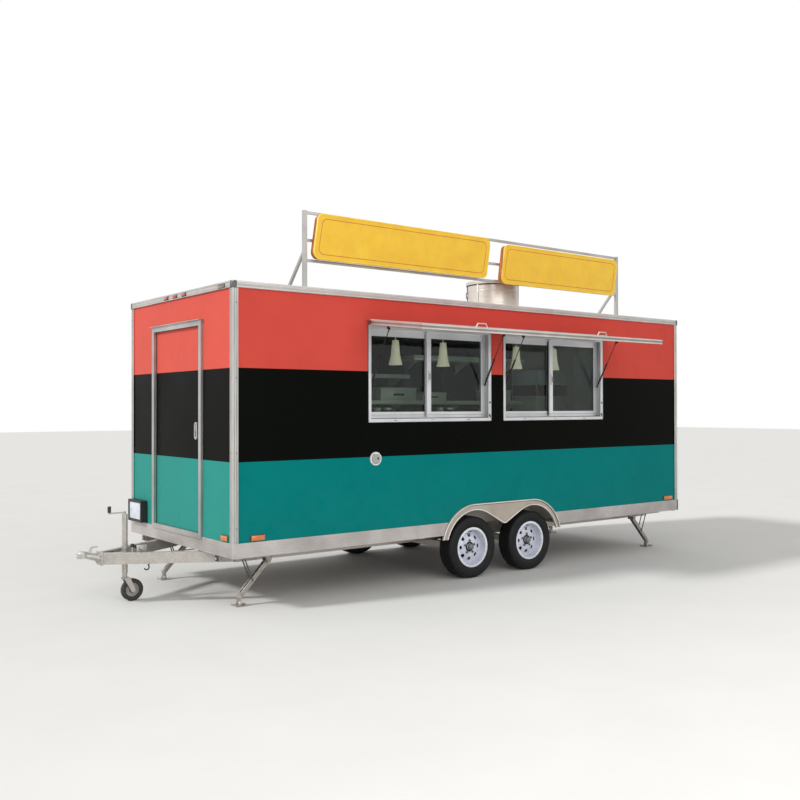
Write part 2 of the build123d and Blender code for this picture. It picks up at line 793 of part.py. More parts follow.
with BuildPart() as strut_barrels:
    for x, wall_side in strut_xs:
        with BuildSketch(cross_plane(x - eye_length / 2)):
            with Locations((anchor.Y, anchor.Z)):
                Circle(eye_radius)
        extrude(amount=eye_length)
        with BuildSketch(strut_plane(x, pin_radius)):
            Circle(end_fitting[0])
        extrude(amount=end_fitting[1])
        with BuildSketch(strut_plane(x, barrel_start)):
            Circle(barrel_radius)
        extrude(amount=barrel_length - barrel_start)
        with BuildSketch(strut_plane(x, bore_start)):
            Circle(rod_radius + run_gap)
        extrude(amount=barrel_length, mode=Mode.SUBTRACT)
        with BuildSketch(cross_plane(x - 20)):
            with Locations((anchor.Y, anchor.Z)):
                Circle(pin_radius + run_gap)
        extrude(amount=40, mode=Mode.SUBTRACT)
save(strut_barrels, "strut_barrels")

with BuildPart() as strut_rods:
    for x, wall_side in strut_xs:
        with BuildSketch(strut_plane(x, barrel_length - rod_overlap)):
            Circle(rod_radius)
        extrude(amount=strut_length - barrel_length + rod_overlap - pin_radius)
        with BuildSketch(strut_plane(x, strut_length - end_fitting[1])):
            Circle(end_fitting[0])
        extrude(amount=end_fitting[1] - pin_radius)
        with BuildSketch(cross_plane(x - eye_length / 2)):
            with Locations((top.Y, top.Z)):
                Circle(eye_radius)
        extrude(amount=eye_length)
save(strut_rods, "strut_rods")

with BuildPart() as strut_brackets:
    for x, wall_side in strut_xs:
        near = min(x + wall_side * bracket_past, x + wall_side * (bracket_past + bracket_plate))
        with BuildSketch(cross_plane(near)):
            with BuildLine():
                foot_a = hatch_point(0, top_reach - bracket_half, hatch_skin)
                foot_b = hatch_point(0, top_reach + bracket_half, hatch_skin)
                tip_a = hatch_point(0, top_reach + 10, top_depth + 6)
                tip_b = hatch_point(0, top_reach - 10, top_depth + 6)
                Polyline(*[(p.Y, p.Z) for p in (foot_a, foot_b, tip_a, tip_b)], close=True)
            make_face()
        extrude(amount=bracket_plate)
save(strut_brackets, "strut_brackets")

# Door frame: a proud outer lip, a jamb through the wall and the fixed halves of three hinges
lip_back = front_x + 4
d0, d1 = serving_y + door_near, serving_y + door_far
leaf_near = d0 + door_jamb + door_gap
leaf_far = d1 - door_jamb - door_gap
leaf_x = lip_back + door_gap
leaf_low = door_bottom + door_jamb + door_gap
leaf_high = door_top - door_jamb - door_gap
door_axis_x = leaf_x + door_leaf + door_barrel + 1
door_axis_y = leaf_far - door_barrel / 2
with BuildPart() as door_frame:
    with BuildSketch(cross_plane(front_x - door_proud)):
        rectangle(d0, d1, door_bottom, door_top)
        rectangle(d0 + door_face, d1 - door_face, door_bottom + door_face, door_top - door_face,
                  Mode.SUBTRACT)
    extrude(amount=lip_back - front_x + door_proud)
    with BuildSketch(cross_plane(lip_back)):
        rectangle(d0, d1, door_bottom, door_top)
        rectangle(d0 + door_jamb, d1 - door_jamb, door_bottom + door_jamb, door_top - door_jamb,
                  Mode.SUBTRACT)
    extrude(amount=front_x + wall - lip_back)
    with BuildSketch(Plane.XY.offset(door_top)):
        rectangle(front_x - door_proud - drip_cap[0], front_x, d0 - drip_cap[1], d1 + drip_cap[1])
    extrude(amount=drip_cap[2])
    for low in door_hinge_heights:
        with BuildSketch(Plane.XY.offset(low)):
            with Locations((door_axis_x, door_axis_y)):
                Circle(door_pin)
        extrude(amount=door_hinge_length)
        for start in (low, low + door_hinge_length * 2 / 3 + run_gap):
            with BuildSketch(Plane.XY.offset(start)):
                with Locations((door_axis_x, door_axis_y)):
                    Circle(door_barrel)
                rectangle(front_x + wall - hinge_leaf, front_x + wall, door_axis_y, leaf_far + door_gap + 1)
            extrude(amount=door_hinge_length / 3 - run_gap)
save(door_frame, "door_frame")

# Door leaf and its latch
with BuildPart() as door:
    with BuildSketch(cross_plane(leaf_x)):
        rectangle(leaf_near, leaf_far, leaf_low, leaf_high)
    extrude(amount=door_leaf)
    for low in door_hinge_heights:
        with BuildSketch(Plane.XY.offset(low + door_hinge_length / 3)):
            with Locations((door_axis_x, door_axis_y)):
                Circle(door_barrel)
            rectangle(leaf_x + door_leaf - 1, door_axis_x + door_barrel, door_axis_y - 5, door_axis_y)
            with Locations((door_axis_x, door_axis_y)):
                Circle(door_pin + run_gap, mode=Mode.SUBTRACT)
        extrude(amount=door_hinge_length / 3)
save(door, "door")

latch_y = serving_y + latch_place[0]
latch_z = latch_place[1]
with BuildPart() as door_latch:
    with BuildSketch(cross_plane(leaf_x - latch_ring[2])):
        with Locations((latch_y, latch_z)):
            SlotOverall(*latch_ring[0], rotation=90)
            SlotOverall(*latch_ring[1], rotation=90, mode=Mode.SUBTRACT)
    extrude(amount=latch_ring[2])
save(door_latch, "door_latch")

# Jockey wheel: a tube clamped to the drawbar, a stem that slides in it and a swivelling fork
mast_x = front_x - jockey_reach
crank_z = jockey_tube_top + crank_rise
with BuildPart() as jockey_mast:
    with BuildSketch(Plane.XY.offset(jockey_tube_bottom)):
        with Locations((mast_x, middle_y)):
            Circle(jockey_tube)
            Circle(stem_radius + run_gap, mode=Mode.SUBTRACT)
    extrude(amount=jockey_tube_top - jockey_tube_bottom)
    with BuildSketch(Plane.XY.offset(jockey_tube_top)):
        with Locations((mast_x, middle_y)):
            Circle(jockey_tube)
    extrude(amount=8)
    slope = tan(radians(beam_angle))
    inner_start = beam_start.Y - beam_width / 2 / cos(radians(beam_angle)) - run_gap
    clamp_x = (mast_x - clamp_half, mast_x + clamp_half)
    reach_front, reach_back = [inner_start + (x - beam_start.X) * slope for x in clamp_x]
    with BuildSketch(Plane.XY.offset(beam_bottom + clamp_low)):
        with BuildLine():
            Polyline((clamp_x[0], middle_y - reach_front), (clamp_x[1], middle_y - reach_back),
                     (clamp_x[1], middle_y + reach_back), (clamp_x[0], middle_y + reach_front), close=True)
        make_face()
        with Locations((mast_x, middle_y)):
            Circle(stem_radius + 2, mode=Mode.SUBTRACT)
    extrude(amount=clamp_height)
    with BuildSketch(Plane.XY.offset(jockey_tube_top + 4)):
        with Locations((mast_x, middle_y)):
            Circle(crank_rod + 4)
    extrude(amount=crank_z + crank_rod + 4 - jockey_tube_top - 4)
    with BuildSketch(cross_plane(mast_x - crank_reach)):
        with Locations((middle_y, crank_z)):
            Circle(crank_rod)
    extrude(amount=crank_reach)
    with BuildSketch(Plane.XY.offset(crank_z - crank_rod - 2)):
        with Locations((mast_x - crank_reach, middle_y)):
            Circle(crank_rod + 2)
    extrude(amount=24)
    with BuildSketch(Plane.XY.offset(crank_z + crank_rod + 2)):
        with Locations((mast_x - crank_reach, middle_y)):
            Circle(grip_radius)
    extrude(amount=grip_length)
save(jockey_mast, "jockey_mast")

with BuildPart() as jockey_stem:
    with BuildSketch(Plane.XY.offset(fork_top + run_gap)):
        with Locations((mast_x, middle_y)):
            Circle(stem_radius)
    extrude(amount=stem_length)
save(jockey_stem, "jockey_stem")

hub_x = mast_x + fork_trail
with BuildPart() as jockey_fork:
    with BuildSketch(Plane.XY.offset(fork_top - fork_crown[1])):
        with Locations((mast_x, middle_y)):
            Circle(fork_crown[0])
        rectangle(mast_x, mast_x + fork_reach, middle_y - fork_half, middle_y + fork_half)
    extrude(amount=fork_crown[1])
    for side_y in (middle_y + fork_half, middle_y - fork_half + fork_plate):
        with BuildSketch(side_plane(side_y)):
            with BuildLine():
                Polyline((mast_x - 20, fork_top - 2), (mast_x + fork_reach, fork_top - 2),
                         (hub_x + 20, jockey_radius + 4), (hub_x + 12, jockey_radius - 18),
                         (hub_x - 12, jockey_radius - 18), close=True)
            make_face()
        extrude(amount=fork_plate)
    with BuildSketch(side_plane(middle_y + fork_half)):
        with Locations((hub_x, jockey_radius)):
            Circle(jockey_axle)
    extrude(amount=2 * fork_half)
save(jockey_fork, "jockey_fork")

with BuildPart() as jockey_wheel:
    half = jockey_width / 2
    with BuildSketch(Plane(origin=(hub_x, middle_y, jockey_radius), x_dir=(0, 1, 0), z_dir=(1, 0, 0))):
        with BuildLine():
            Polyline((-half, jockey_axle + run_gap), (-half, 24), (-half + 16, 30), (-half + 16, 58),
                     (-half, 64), (-half, jockey_radius - 14), (-half + 10, jockey_radius),
                     (half - 10, jockey_radius), (half, jockey_radius - 14), (half, 64), (half - 16, 58),
                     (half - 16, 30), (half, 24), (half, jockey_axle + run_gap), close=True)
        make_face()
    revolve(axis=Axis((hub_x, middle_y, jockey_radius), (0, 1, 0)))
save(jockey_wheel, "jockey_wheel")

# Corner legs: a base channel under the floor, the leg on its pivot and a brace beside it
base_top = floor_bottom - member_height
base_low = base_top - base_height
leg_drop = leg_pivot - foot_z
leg_angle = degrees(atan2(leg_drop, sqrt(leg_length ** 2 - leg_drop ** 2)))
corners = (("front_serving", front_x, 1, serving_y, 1), ("front_far", front_x, 1, far_y, -1),
           ("rear_serving", rear_x, -1, serving_y, 1), ("rear_far", rear_x, -1, far_y, -1))
with BuildPart() as leg_bases:
    for name, end_x, inboard, side_y, across in corners:
        pivot_x = end_x + inboard * leg_from_end
        y = side_y + across * leg_from_side
        base_end = end_x + inboard * (leg_from_end + 90)
        x0, x1 = sorted((base_end, base_end - inboard * base_length))
        with BuildSketch(cross_plane(x0)):
            rectangle(y - base_width / 2, y + base_width / 2, base_low, base_top)
            rectangle(y - base_width / 2 + base_wall, y + base_width / 2 - base_wall, base_low,
                      base_top - base_wall, Mode.SUBTRACT)
        extrude(amount=x1 - x0)
        for ear in (y - base_width / 2 + base_wall, y + base_width / 2):
            with BuildSketch(side_plane(ear)):
                with BuildLine():
                    Polyline((pivot_x - base_ear, base_low), (pivot_x + base_ear, base_low),
                             (pivot_x + 14, leg_pivot - 16), (pivot_x - 14, leg_pivot - 16), close=True)
                make_face()
            extrude(amount=base_wall)
        with BuildSketch(side_plane(y + base_width / 2)):
            with Locations((pivot_x, leg_pivot)):
                Circle(leg_pin)
        extrude(amount=base_width)
save(leg_bases, "leg_bases")

for name, end_x, inboard, side_y, across in corners:
    pivot_x = end_x + inboard * leg_from_end
    y = side_y + across * leg_from_side
    lean_x = -inboard * cos(radians(leg_angle))
    lean_z = -sin(radians(leg_angle))
    tip = Vector(pivot_x + lean_x * leg_length, y, leg_pivot + lean_z * leg_length)
    side_dir = (lean_x, 0, lean_z)
    pin = Vector(pivot_x + lean_x * brace_along, y, leg_pivot + lean_z * brace_along)
    head = Vector(pivot_x - inboard * brace_top_run, y, base_low + 22)
    with BuildPart() as leg:
        with BuildSketch(Plane(origin=(pivot_x, y, leg_pivot), x_dir=(0, 1, 0), z_dir=side_dir)):
            Rectangle(leg_width, leg_depth)
            with Locations((0, inboard * channel_wall)):
                Rectangle(leg_width - 2 * channel_wall, leg_depth, mode=Mode.SUBTRACT)
        extrude(amount=leg_length)
        with BuildSketch(side_plane(y + leg_width / 2)):
            with Locations((pivot_x, leg_pivot)):
                Circle(leg_depth / 2)
        extrude(amount=leg_width)
        with BuildSketch(side_plane(y + 60)):
            with Locations((pivot_x, leg_pivot)):
                Circle(leg_pin + run_gap)
        extrude(amount=120, mode=Mode.SUBTRACT)
        with BuildSketch(side_plane(y + leg_width / 2)):
            with Locations((tip.X, tip.Z)):
                Circle(leg_depth / 2)
            rectangle(tip.X - 12, tip.X + 12, foot_plate, tip.Z)
        extrude(amount=leg_width)
        with BuildSketch(Plane.XY):
            with Locations((tip.X, y)):
                RectangleRounded(foot_length, foot_width, 8)
        extrude(amount=foot_plate)
        with BuildSketch(side_plane(y + 31)):
            with Locations((pin.X, pin.Z)):
                Circle(brace_pin)
        extrude(amount=62)
    save(leg, f"leg_{name}")

    with BuildPart() as brace:
        for offset in (-30, 24):
            with BuildSketch(side_plane(y + offset + 6)):
                with Locations((pin.X, pin.Z), (head.X, head.Z)):
                    Circle(brace_eye)
                run = head - pin
                with Locations(Location(((pin.X + head.X) / 2, (pin.Z + head.Z) / 2),
                                        degrees(atan2(run.Z, run.X)))):
                    Rectangle(run.length, brace_strap[0])
                with Locations((pin.X, pin.Z)):
                    Circle(brace_pin + run_gap, mode=Mode.SUBTRACT)
            extrude(amount=brace_strap[1])
        with BuildSketch(side_plane(y + 30)):
            with Locations((head.X, head.Z)):
                Circle(5)
        extrude(amount=60)
    save(brace, f"brace_{name}")

# Roof vent drum
vent_x = front_x + vent_place[0]
vent_y = serving_y + vent_place[1]
with BuildPart() as roof_vent:
    with BuildSketch(Plane.XY.offset(roof_top)):
        with Locations((vent_x, vent_y)):
            Circle(vent_radius + vent_flange[0])
    extrude(amount=vent_flange[1])
    with BuildSketch(Plane.XY.offset(roof_top)):
        with Locations((vent_x, vent_y)):
            Circle(vent_radius)
    extrude(amount=vent_height - vent_cap[1])
    with BuildSketch(Plane.XY.offset(roof_top + vent_height - vent_cap[1])):
        with Locations((vent_x, vent_y)):
            Circle(vent_radius + vent_cap[0])
    extrude(amount=vent_cap[1])
    fillet(roof_vent.faces().sort_by(Axis.Z)[-1].edges(), vent_cap[0])
    with BuildSketch(Plane.XY.offset(roof_top)):
        with Locations((vent_x, vent_y)):
            Circle(vent_radius - vent_wall)
    extrude(amount=vent_height - vent_wall, mode=Mode.SUBTRACT)
save(roof_vent, "roof_vent")

# Roof sign: frame, braces and two blank boards
sign_y = serving_y + sign_depth
brace_head = roof_top + sign_brace_share * sign_height
brace_foot = sign_y + sign_brace_run
with BuildPart() as sign_frame:
    for place in sign_posts:
        x = front_x + place
        with BuildSketch(Plane.XY.offset(roof_top)):
            with Locations((x, sign_y)):
                Rectangle(sign_foot, sign_foot)
        extrude(amount=6)
        with BuildSketch(Plane.XY.offset(roof_top)):
            with Locations((x, sign_y)):
                Rectangle(sign_tube, sign_tube)
        extrude(amount=sign_height)
        with BuildSketch(cross_plane(x - sign_rail / 2)):
            with BuildLine():
                Polyline((sign_y, brace_head + sign_brace + 4), (sign_y, brace_head),
                         (brace_foot, roof_top), (brace_foot + sign_brace, roof_top), close=True)
            make_face()
        extrude(amount=sign_rail)
    for z in (*sign_rails, sign_top - sign_tube / 2):
        with BuildSketch(cross_plane(front_x + sign_posts[0])):
            with Locations((sign_y, z)):
                Rectangle(sign_rail, sign_rail)
        extrude(amount=sign_posts[1] - sign_posts[0])
save(sign_frame, "sign_frame")

with BuildPart() as sign_board_pair:
    for x0, x1, over_rail, under_top in sign_boards:
        z0, z1 = sign_rails[0] + over_rail, sign_top - under_top
        with BuildSketch(side_plane(sign_y - sign_rail / 2)):
            with BuildLine():
                Polyline((front_x + x0, z0), (front_x + x1 - board_slant, z0), (front_x + x1, z1),
                         (front_x + x0 + board_slant, z1), close=True)
            make_face()
            fillet(vertices(), board_slant)
        extrude(amount=board_thickness)
save(sign_board_pair, "sign_boards")

# Lamps
with BuildPart() as amber_lamps:
    for x0, x1 in side_lamps:
        for y in (serving_y, far_y + lamp_proud):
            with BuildSketch(side_plane(y)):
                rectangle(front_x + x0, front_x + x1, lamp_low, lamp_low + lamp_height)
            extrude(amount=lamp_proud)
    with BuildSketch(cross_plane(front_x - lamp_proud)):
        rectangle(serving_y + front_lamp[0], serving_y + front_lamp[1], lamp_low, lamp_low + lamp_height)
    extrude(amount=lamp_proud)
save(amber_lamps, "amber_lamps")

with BuildPart() as red_lamps:
    for y in (serving_y + tail_lamp_inset, far_y - tail_lamp_inset - tail_lamp[0]):
        with BuildSketch(cross_plane(rear_x)):
            rectangle(y, y + tail_lamp[0], skirt_top + 32, skirt_top + 32 + tail_lamp[1])
        extrude(amount=rear_proud)
    for count in (-1, 0, 1):
        with BuildSketch(cross_plane(front_x - trim - rail_lip - 12)):
            with Locations((middle_y + 26 + count * id_lamp_pitch, wall_top + 20)):
                SlotOverall(*id_lamp_size)
        extrude(amount=12)
save(red_lamps, "red_lamps")

with BuildPart() as plate_box:
    y0, y1 = far_y - plate_from_far[1], far_y - plate_from_far[0]
    with BuildSketch(cross_plane(front_x - plate_proud)):
        rectangle(y0, y1, plate_low, plate_low + plate_height)
    extrude(amount=plate_proud)
    with BuildSketch(cross_plane(front_x - plate_proud)):
        rectangle(y0 + plate_rim, y1 - plate_rim, plate_low + plate_rim, plate_low + plate_height - plate_rim)
    extrude(amount=8, mode=Mode.SUBTRACT)
save(plate_box, "plate_box")

with BuildPart() as inlet:
    step_y = serving_y
    for radius, proud in inlet_steps:
        with BuildSketch(side_plane(step_y)):
            with Locations((front_x + inlet_place[0], inlet_place[1])):
                Circle(radius)
        extrude(amount=proud)
        step_y -= proud
save(inlet, "inlet")

# Inside: a serving counter, and the bench, shelves and tall unit along the far wall
inside_near = serving_y + wall
inside_far = far_y - wall
counter_front = serving_y + counter_depth
counter_board = 20
counter_panel = counter_front - counter_board - 25
with BuildPart() as counter:
    with BuildSketch(cross_plane(front_x + counter_span[0])):
        rectangle(inner_face + 1, counter_front, *counter_top)
        rectangle(counter_panel, counter_panel + counter_board, counter_shelf, counter_top[0])
        rectangle(inside_near, counter_panel, counter_shelf, counter_shelf + counter_board)
    extrude(amount=counter_span[1] - counter_span[0])
save(counter, "counter")

with BuildPart() as cabinets:
    for start, end, depth, low, high in far_units:
        with BuildSketch(cross_plane(front_x + start)):
            rectangle(inside_far - depth, inside_far, low, high)
        extrude(amount=end - start)
save(cabinets, "cabinets")

pendant_y = serving_y + pendant_from_side
with BuildPart() as pendants:
    for place in pendant_places:
        x, y = front_x + place, pendant_y
        with BuildSketch(Plane(origin=(x, y, pendant_z), x_dir=(1, 0, 0), z_dir=(0, -1, 0))):
            with BuildLine():
                Polyline(*pendant_profile, close=True)
            make_face()
        revolve(axis=Axis((x, y, 0), (0, 0, 1)))
        with BuildSketch(Plane.XY.offset(pendant_z + pendant_rod[1])):
            with Locations((x, y)):
                Circle(pendant_rod[0])
        extrude(amount=wall_top - pendant_z - pendant_rod[1])
save(pendants, "pendants")
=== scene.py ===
import math
import bmesh
import bpy
from mathutils import Matrix, Vector


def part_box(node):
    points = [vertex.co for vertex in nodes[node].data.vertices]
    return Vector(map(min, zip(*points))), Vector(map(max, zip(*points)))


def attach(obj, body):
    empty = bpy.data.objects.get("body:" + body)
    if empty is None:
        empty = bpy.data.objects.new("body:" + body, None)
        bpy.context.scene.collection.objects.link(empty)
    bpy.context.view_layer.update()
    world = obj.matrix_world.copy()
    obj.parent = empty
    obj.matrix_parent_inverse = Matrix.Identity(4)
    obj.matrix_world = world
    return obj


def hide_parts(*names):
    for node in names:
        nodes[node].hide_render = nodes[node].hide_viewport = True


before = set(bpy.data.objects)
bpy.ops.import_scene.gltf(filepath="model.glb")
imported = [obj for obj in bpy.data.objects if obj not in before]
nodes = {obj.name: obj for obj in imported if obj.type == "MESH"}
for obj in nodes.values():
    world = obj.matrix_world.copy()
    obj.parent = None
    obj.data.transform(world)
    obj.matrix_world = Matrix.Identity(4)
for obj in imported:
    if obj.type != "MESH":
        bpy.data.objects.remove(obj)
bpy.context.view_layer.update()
print("frame loaded,", len(nodes), "nodes")

# The body's own faces, read from the frame, and the directions out of them
(frontX, servingY, wallTop), (rearX, farY, roofTop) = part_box("roof")
middleX, middleY = (frontX + rearX) / 2, (servingY + farY) / 2
serving, far, front, rear, upward = (0, -1, 0), (0, 1, 0), (-1, 0, 0), (1, 0, 0), (0, 0, 1)
longSides = ((servingY, -1), (farY, 1))
corners = [(x, y, sx, sy) for x, sx in ((frontX, -1), (rearX, 1)) for y, sy in longSides]
cornerNames = ("front_serving", "front_far", "rear_serving", "rear_far")


# Helpers for node trees

def colour(red, green, blue):
    # as it looks on a screen, 0 to 255
    parts = [v / 255 for v in (red, green, blue)]
    parts = [v / 12.92 if v <= 0.04045 else ((v + 0.055) / 1.055) ** 2.4 for v in parts]
    return (*parts, 1.0)


def setInputs(tree, made, inputs):
    for key, value in inputs.items():
        if isinstance(value, bpy.types.NodeSocket):
            tree.links.new(value, made.inputs[key])
        else:
            made.inputs[key].default_value = value
    return made


def addNode(tree, kind, inputs, **settings):
    made = tree.nodes.new(kind)
    for name, value in settings.items():
        setattr(made, name, value)
    return setInputs(tree, made, inputs)


def maths(tree, operation, first, second=0.0, clamp=False):
    made = addNode(tree, "ShaderNodeMath", {0: first, 1: second}, operation=operation, use_clamp=clamp)
    return made.outputs[0]


def vectors(tree, operation, first, second=(0, 0, 0)):
    made = addNode(tree, "ShaderNodeVectorMath", {0: first, 1: second}, operation=operation)
    return made.outputs["Value" if operation in ("DOT_PRODUCT", "LENGTH") else "Vector"]


def split(tree, place):
    return addNode(tree, "ShaderNodeSeparateXYZ", {0: place}).outputs


def noise(tree, place, scale, detail, rough=0.5):
    inputs = {"Vector": place, "Scale": scale, "Detail": detail, "Roughness": rough}
    return addNode(tree, "ShaderNodeTexNoise", inputs).outputs["Fac"]


def mapped(tree, value, low, high, newLow=0.0, newHigh=1.0):
    inputs = {"Value": value, "From Min": low, "From Max": high, "To Min": newLow, "To Max": newHigh}
    return addNode(tree, "ShaderNodeMapRange", inputs).outputs["Result"]


def mixed(tree, factor, first, second):
    return addNode(tree, "ShaderNodeMix", {0: factor, 6: first, 7: second}, data_type="RGBA").outputs[2]


def toned(tree, factor, tone, shade):
    # tone and shade are the two ends that a pattern moves between
    return mixed(tree, factor, colour(*shade), colour(*tone))


def bumped(tree, height, strength, distance, normal):
    inputs = {"Height": height, "Strength": strength, "Distance": distance, "Normal": normal}
    return addNode(tree, "ShaderNodeBump", inputs).outputs["Normal"]


def newGroup(name, inputs, outputs):
    # an input without a number is a vector, and so is an output called Normal
    group = bpy.data.node_groups.new(name, "ShaderNodeTree")
    for label, value in inputs.items():
        kind = "NodeSocketVector" if value is None else "NodeSocketFloat"
        made = group.interface.new_socket(name=label, in_out="INPUT", socket_type=kind)
        if value is not None:
            made.default_value = value
    for label in outputs:
        kind = "NodeSocketVector" if label == "Normal" else "NodeSocketFloat"
        group.interface.new_socket(name=label, in_out="OUTPUT", socket_type=kind)
    return group, group.nodes.new("NodeGroupInput").outputs, group.nodes.new("NodeGroupOutput")


def useGroup(tree, group, **inputs):
    return addNode(tree, "ShaderNodeGroup", inputs, node_tree=group).outputs


# Shared effects

def makePatina():
    group, given, out = newGroup("patina", {"Vector": None, "Scale": 4.0}, ("Broad", "Fine"))
    fineScale = maths(group, "MULTIPLY", given["Scale"], 25.0)
    setInputs(group, out, {"Broad": noise(group, given["Vector"], given["Scale"], 4.0, 0.6),
                           "Fine": noise(group, given["Vector"], fineScale, 3.0)})
    return group


def makeBrushed():
    # long streaks: Stretch is how fast the pattern changes along each axis
    group, given, out = newGroup("brushed", {"Vector": None, "Stretch": None}, ("Broad", "Fine"))
    scaled = vectors(group, "MULTIPLY", given["Vector"], given["Stretch"])
    setInputs(group, out, {"Broad": noise(group, given["Vector"], 3.0, 3.0),
                           "Fine": noise(group, scaled, 1.0, 2.0)})
    return group


def makeSpangle():
    # the crystal flakes of hot-dip zinc
    group, given, out = newGroup("spangle", {"Vector": None, "Scale": 70.0}, ("Broad", "Fine"))
    cells = addNode(group, "ShaderNodeTexVoronoi", {"Vector": given["Vector"], "Scale": given["Scale"]})
    shade = addNode(group, "ShaderNodeSeparateColor", {"Color": cells.outputs["Color"]}).outputs[0]
    cloud = maths(group, "MULTIPLY", noise(group, given["Vector"], 6.0, 5.0), 0.55)
    broad = maths(group, "ADD", maths(group, "MULTIPLY", shade, 0.45), cloud)
    setInputs(group, out, {"Broad": broad, "Fine": shade})
    return group


def makeRoundedEdges():
    group, given, out = newGroup("roundedEdges", {"Radius": 0.003}, ("Normal", "Wear"))
    rounded = addNode(group, "ShaderNodeBevel", {"Radius": given["Radius"]}, samples=4).outputs["Normal"]
    flat = addNode(group, "ShaderNodeNewGeometry", {}).outputs["Normal"]
    wear = mapped(group, vectors(group, "DOT_PRODUCT", rounded, flat), 0.99, 0.86)
    setInputs(group, out, {"Normal": rounded, "Wear": wear})
    return group


def makeRoadDust():
    # dust in patches, most at the ground and none over Top
    group, given, out = newGroup("roadDust", {"Vector": None, "Top": 0.8}, ("Mask",))
    nearGround = mapped(group, split(group, given["Vector"])["Z"], given["Top"], 0.0)
    patches = mapped(group, noise(group, given["Vector"], 9.0, 6.0, 0.65), 0.35, 0.75)
    setInputs(group, out, {"Mask": maths(group, "MULTIPLY", nearGround, patches, True)})
    return group


patina, brushed, spangle = makePatina(), makeBrushed(), makeSpangle()
roundedEdges, roadDust = makeRoundedEdges(), makeRoadDust()
print("shader groups made")


# Materials

def newMaterial(name):
    material = bpy.data.materials.new(name)
    material.use_nodes = True
    tree = material.node_tree
    place = addNode(tree, "ShaderNodeTexCoord", {}).outputs["Object"]
    return material, tree, tree.nodes["Principled BSDF"], place


# Each row: tone, shade, metallic, least and most roughness, pattern, bump, worn edge in mm, dust.
# A pattern of three numbers is brushed by that stretch, and one number is the scale of spots.
finishes = {
    "aluminiumTrim": ((188, 186, 183), (160, 158, 155), 0.75, 0.3, 0.46, (40, 40, 3), 0.05, 2.0, 0.1),
    "aluminiumLong": ((206, 203, 199), (182, 179, 176), 0.75, 0.3, 0.46, (3, 60, 260), 0.05, 2.0, 0.0),
    "skirtAluminium": ((196, 191, 189), (165, 160, 158), 0.7, 0.38, 0.55, (3, 3, 300), 0.1, 1.5, 0.35),
    "windowAluminium": ((215, 216, 218), (195, 196, 198), 0.55, 0.34, 0.44, (6, 60, 6), 0.03, 1.5, 0.0),
    "galvanised": ((186, 181, 174), (170, 165, 158), 0.6, 0.36, 0.54, 80.0, 0.05, 2.5, 0.1),
    "darkZinc": ((132, 134, 138), (98, 100, 104), 0.7, 0.34, 0.5, 60.0, 0.06, 1.0, 0.1),
    "legZinc": ((168, 164, 158), (134, 131, 126), 0.6, 0.36, 0.54, 30.0, 0.08, 2.5, 0.2),
    "castZinc": ((204, 202, 198), (160, 159, 156), 0.7, 0.4, 0.62, 16.0, 0.35, 3.0, 0.2),
    "zincBright": ((206, 203, 196), (158, 155, 149), 0.85, 0.28, 0.45, 60.0, 0.1, 1.0, 0.15),
    "roofWhite": ((212, 210, 205), (198, 196, 191), 0.0, 0.4, 0.55, 2.0, 0.05, 2.0, 0.0),
    "blackSteel": ((26, 26, 27), (16, 16, 17), 0.2, 0.3, 0.5, 20.0, 0.05, 1.0, 0.0),
    "brightRod": ((62, 62, 64), (40, 40, 42), 0.8, 0.2, 0.34, (300, 30, 30), 0.03, 0.6, 0.0),
    "ventSteel": ((214, 206, 196), (182, 174, 165), 0.75, 0.26, 0.42, (5, 5, 90), 0.06, 3.0, 0.0),
    "kitchenSteel": ((226, 234, 224), (198, 208, 197), 0.15, 0.28, 0.42, (3, 90, 90), 0.04, 2.0, 0.0),
    "darkScrew": ((98, 96, 94), (70, 69, 68), 0.9, 0.35, 0.5, 80.0, 0.05, 0.8, 0.1),
    "floorBoard": ((122, 100, 78), (88, 70, 54), 0.0, 0.55, 0.75, (4, 60, 60), 0.2, 2.0, 0.1),
    "blackPlastic": ((34, 34, 35), (24, 24, 25), 0.0, 0.42, 0.58, 40.0, 0.12, 2.0, 0.2),
    "whitePlastic": ((226, 225, 220), (206, 204, 198), 0.0, 0.28, 0.4, 20.0, 0.04, 2.0, 0.0),
    "greyPlastic": ((82, 84, 88), (64, 66, 70), 0.0, 0.4, 0.55, 30.0, 0.08, 1.0, 0.1),
    "coverGrey": ((156, 158, 158), (138, 140, 141), 0.0, 0.35, 0.48, 30.0, 0.05, 1.0, 0.0),
    "lampHousing": ((74, 60, 52), (52, 42, 37), 0.0, 0.4, 0.55, 40.0, 0.06, 1.0, 0.1),
    "blackRubber": ((30, 30, 31), (20, 20, 21), 0.0, 0.5, 0.68, 60.0, 0.08, 1.0, 0.0),
    "railInsert": ((176, 170, 166), (158, 152, 148), 0.0, 0.45, 0.6, 8.0, 0.06, 0.8, 0.0),
    "blankPlate": ((206, 210, 216), (184, 189, 197), 0.0, 0.35, 0.5, 20.0, 0.04, 1.0, 0.1),
    "creamShade": ((226, 218, 194), (206, 197, 172), 0.0, 0.4, 0.5, 12.0, 0.03, 1.0, 0.0),
    "signSide": ((196, 110, 38), (164, 86, 26), 0.0, 0.4, 0.55, 14.0, 0.05, 2.0, 0.0),
    "signRim": ((236, 200, 66), (222, 180, 46), 0.0, 0.26, 0.38, 8.0, 0.04, 1.0, 0.0),
    "insideBlue": ((212, 230, 232), (192, 212, 216), 0.0, 0.3, 0.42, 4.0, 0.03, 1.0, 0.0),
    "insideGrey": ((214, 224, 214), (190, 201, 191), 0.0, 0.35, 0.5, 4.0, 0.04, 1.0, 0.0),
    "insideDark": ((50, 52, 58), (34, 36, 42), 0.0, 0.4, 0.55, 8.0, 0.04, 1.0, 0.0),
}
# The pendant lamps' creamShade glows faintly: painted light standing in for daylight on the unlit shades.
spangled, paintedGlows, dustColour = ("galvanised",), {"creamShade": 0.28}, colour(150, 134, 112)


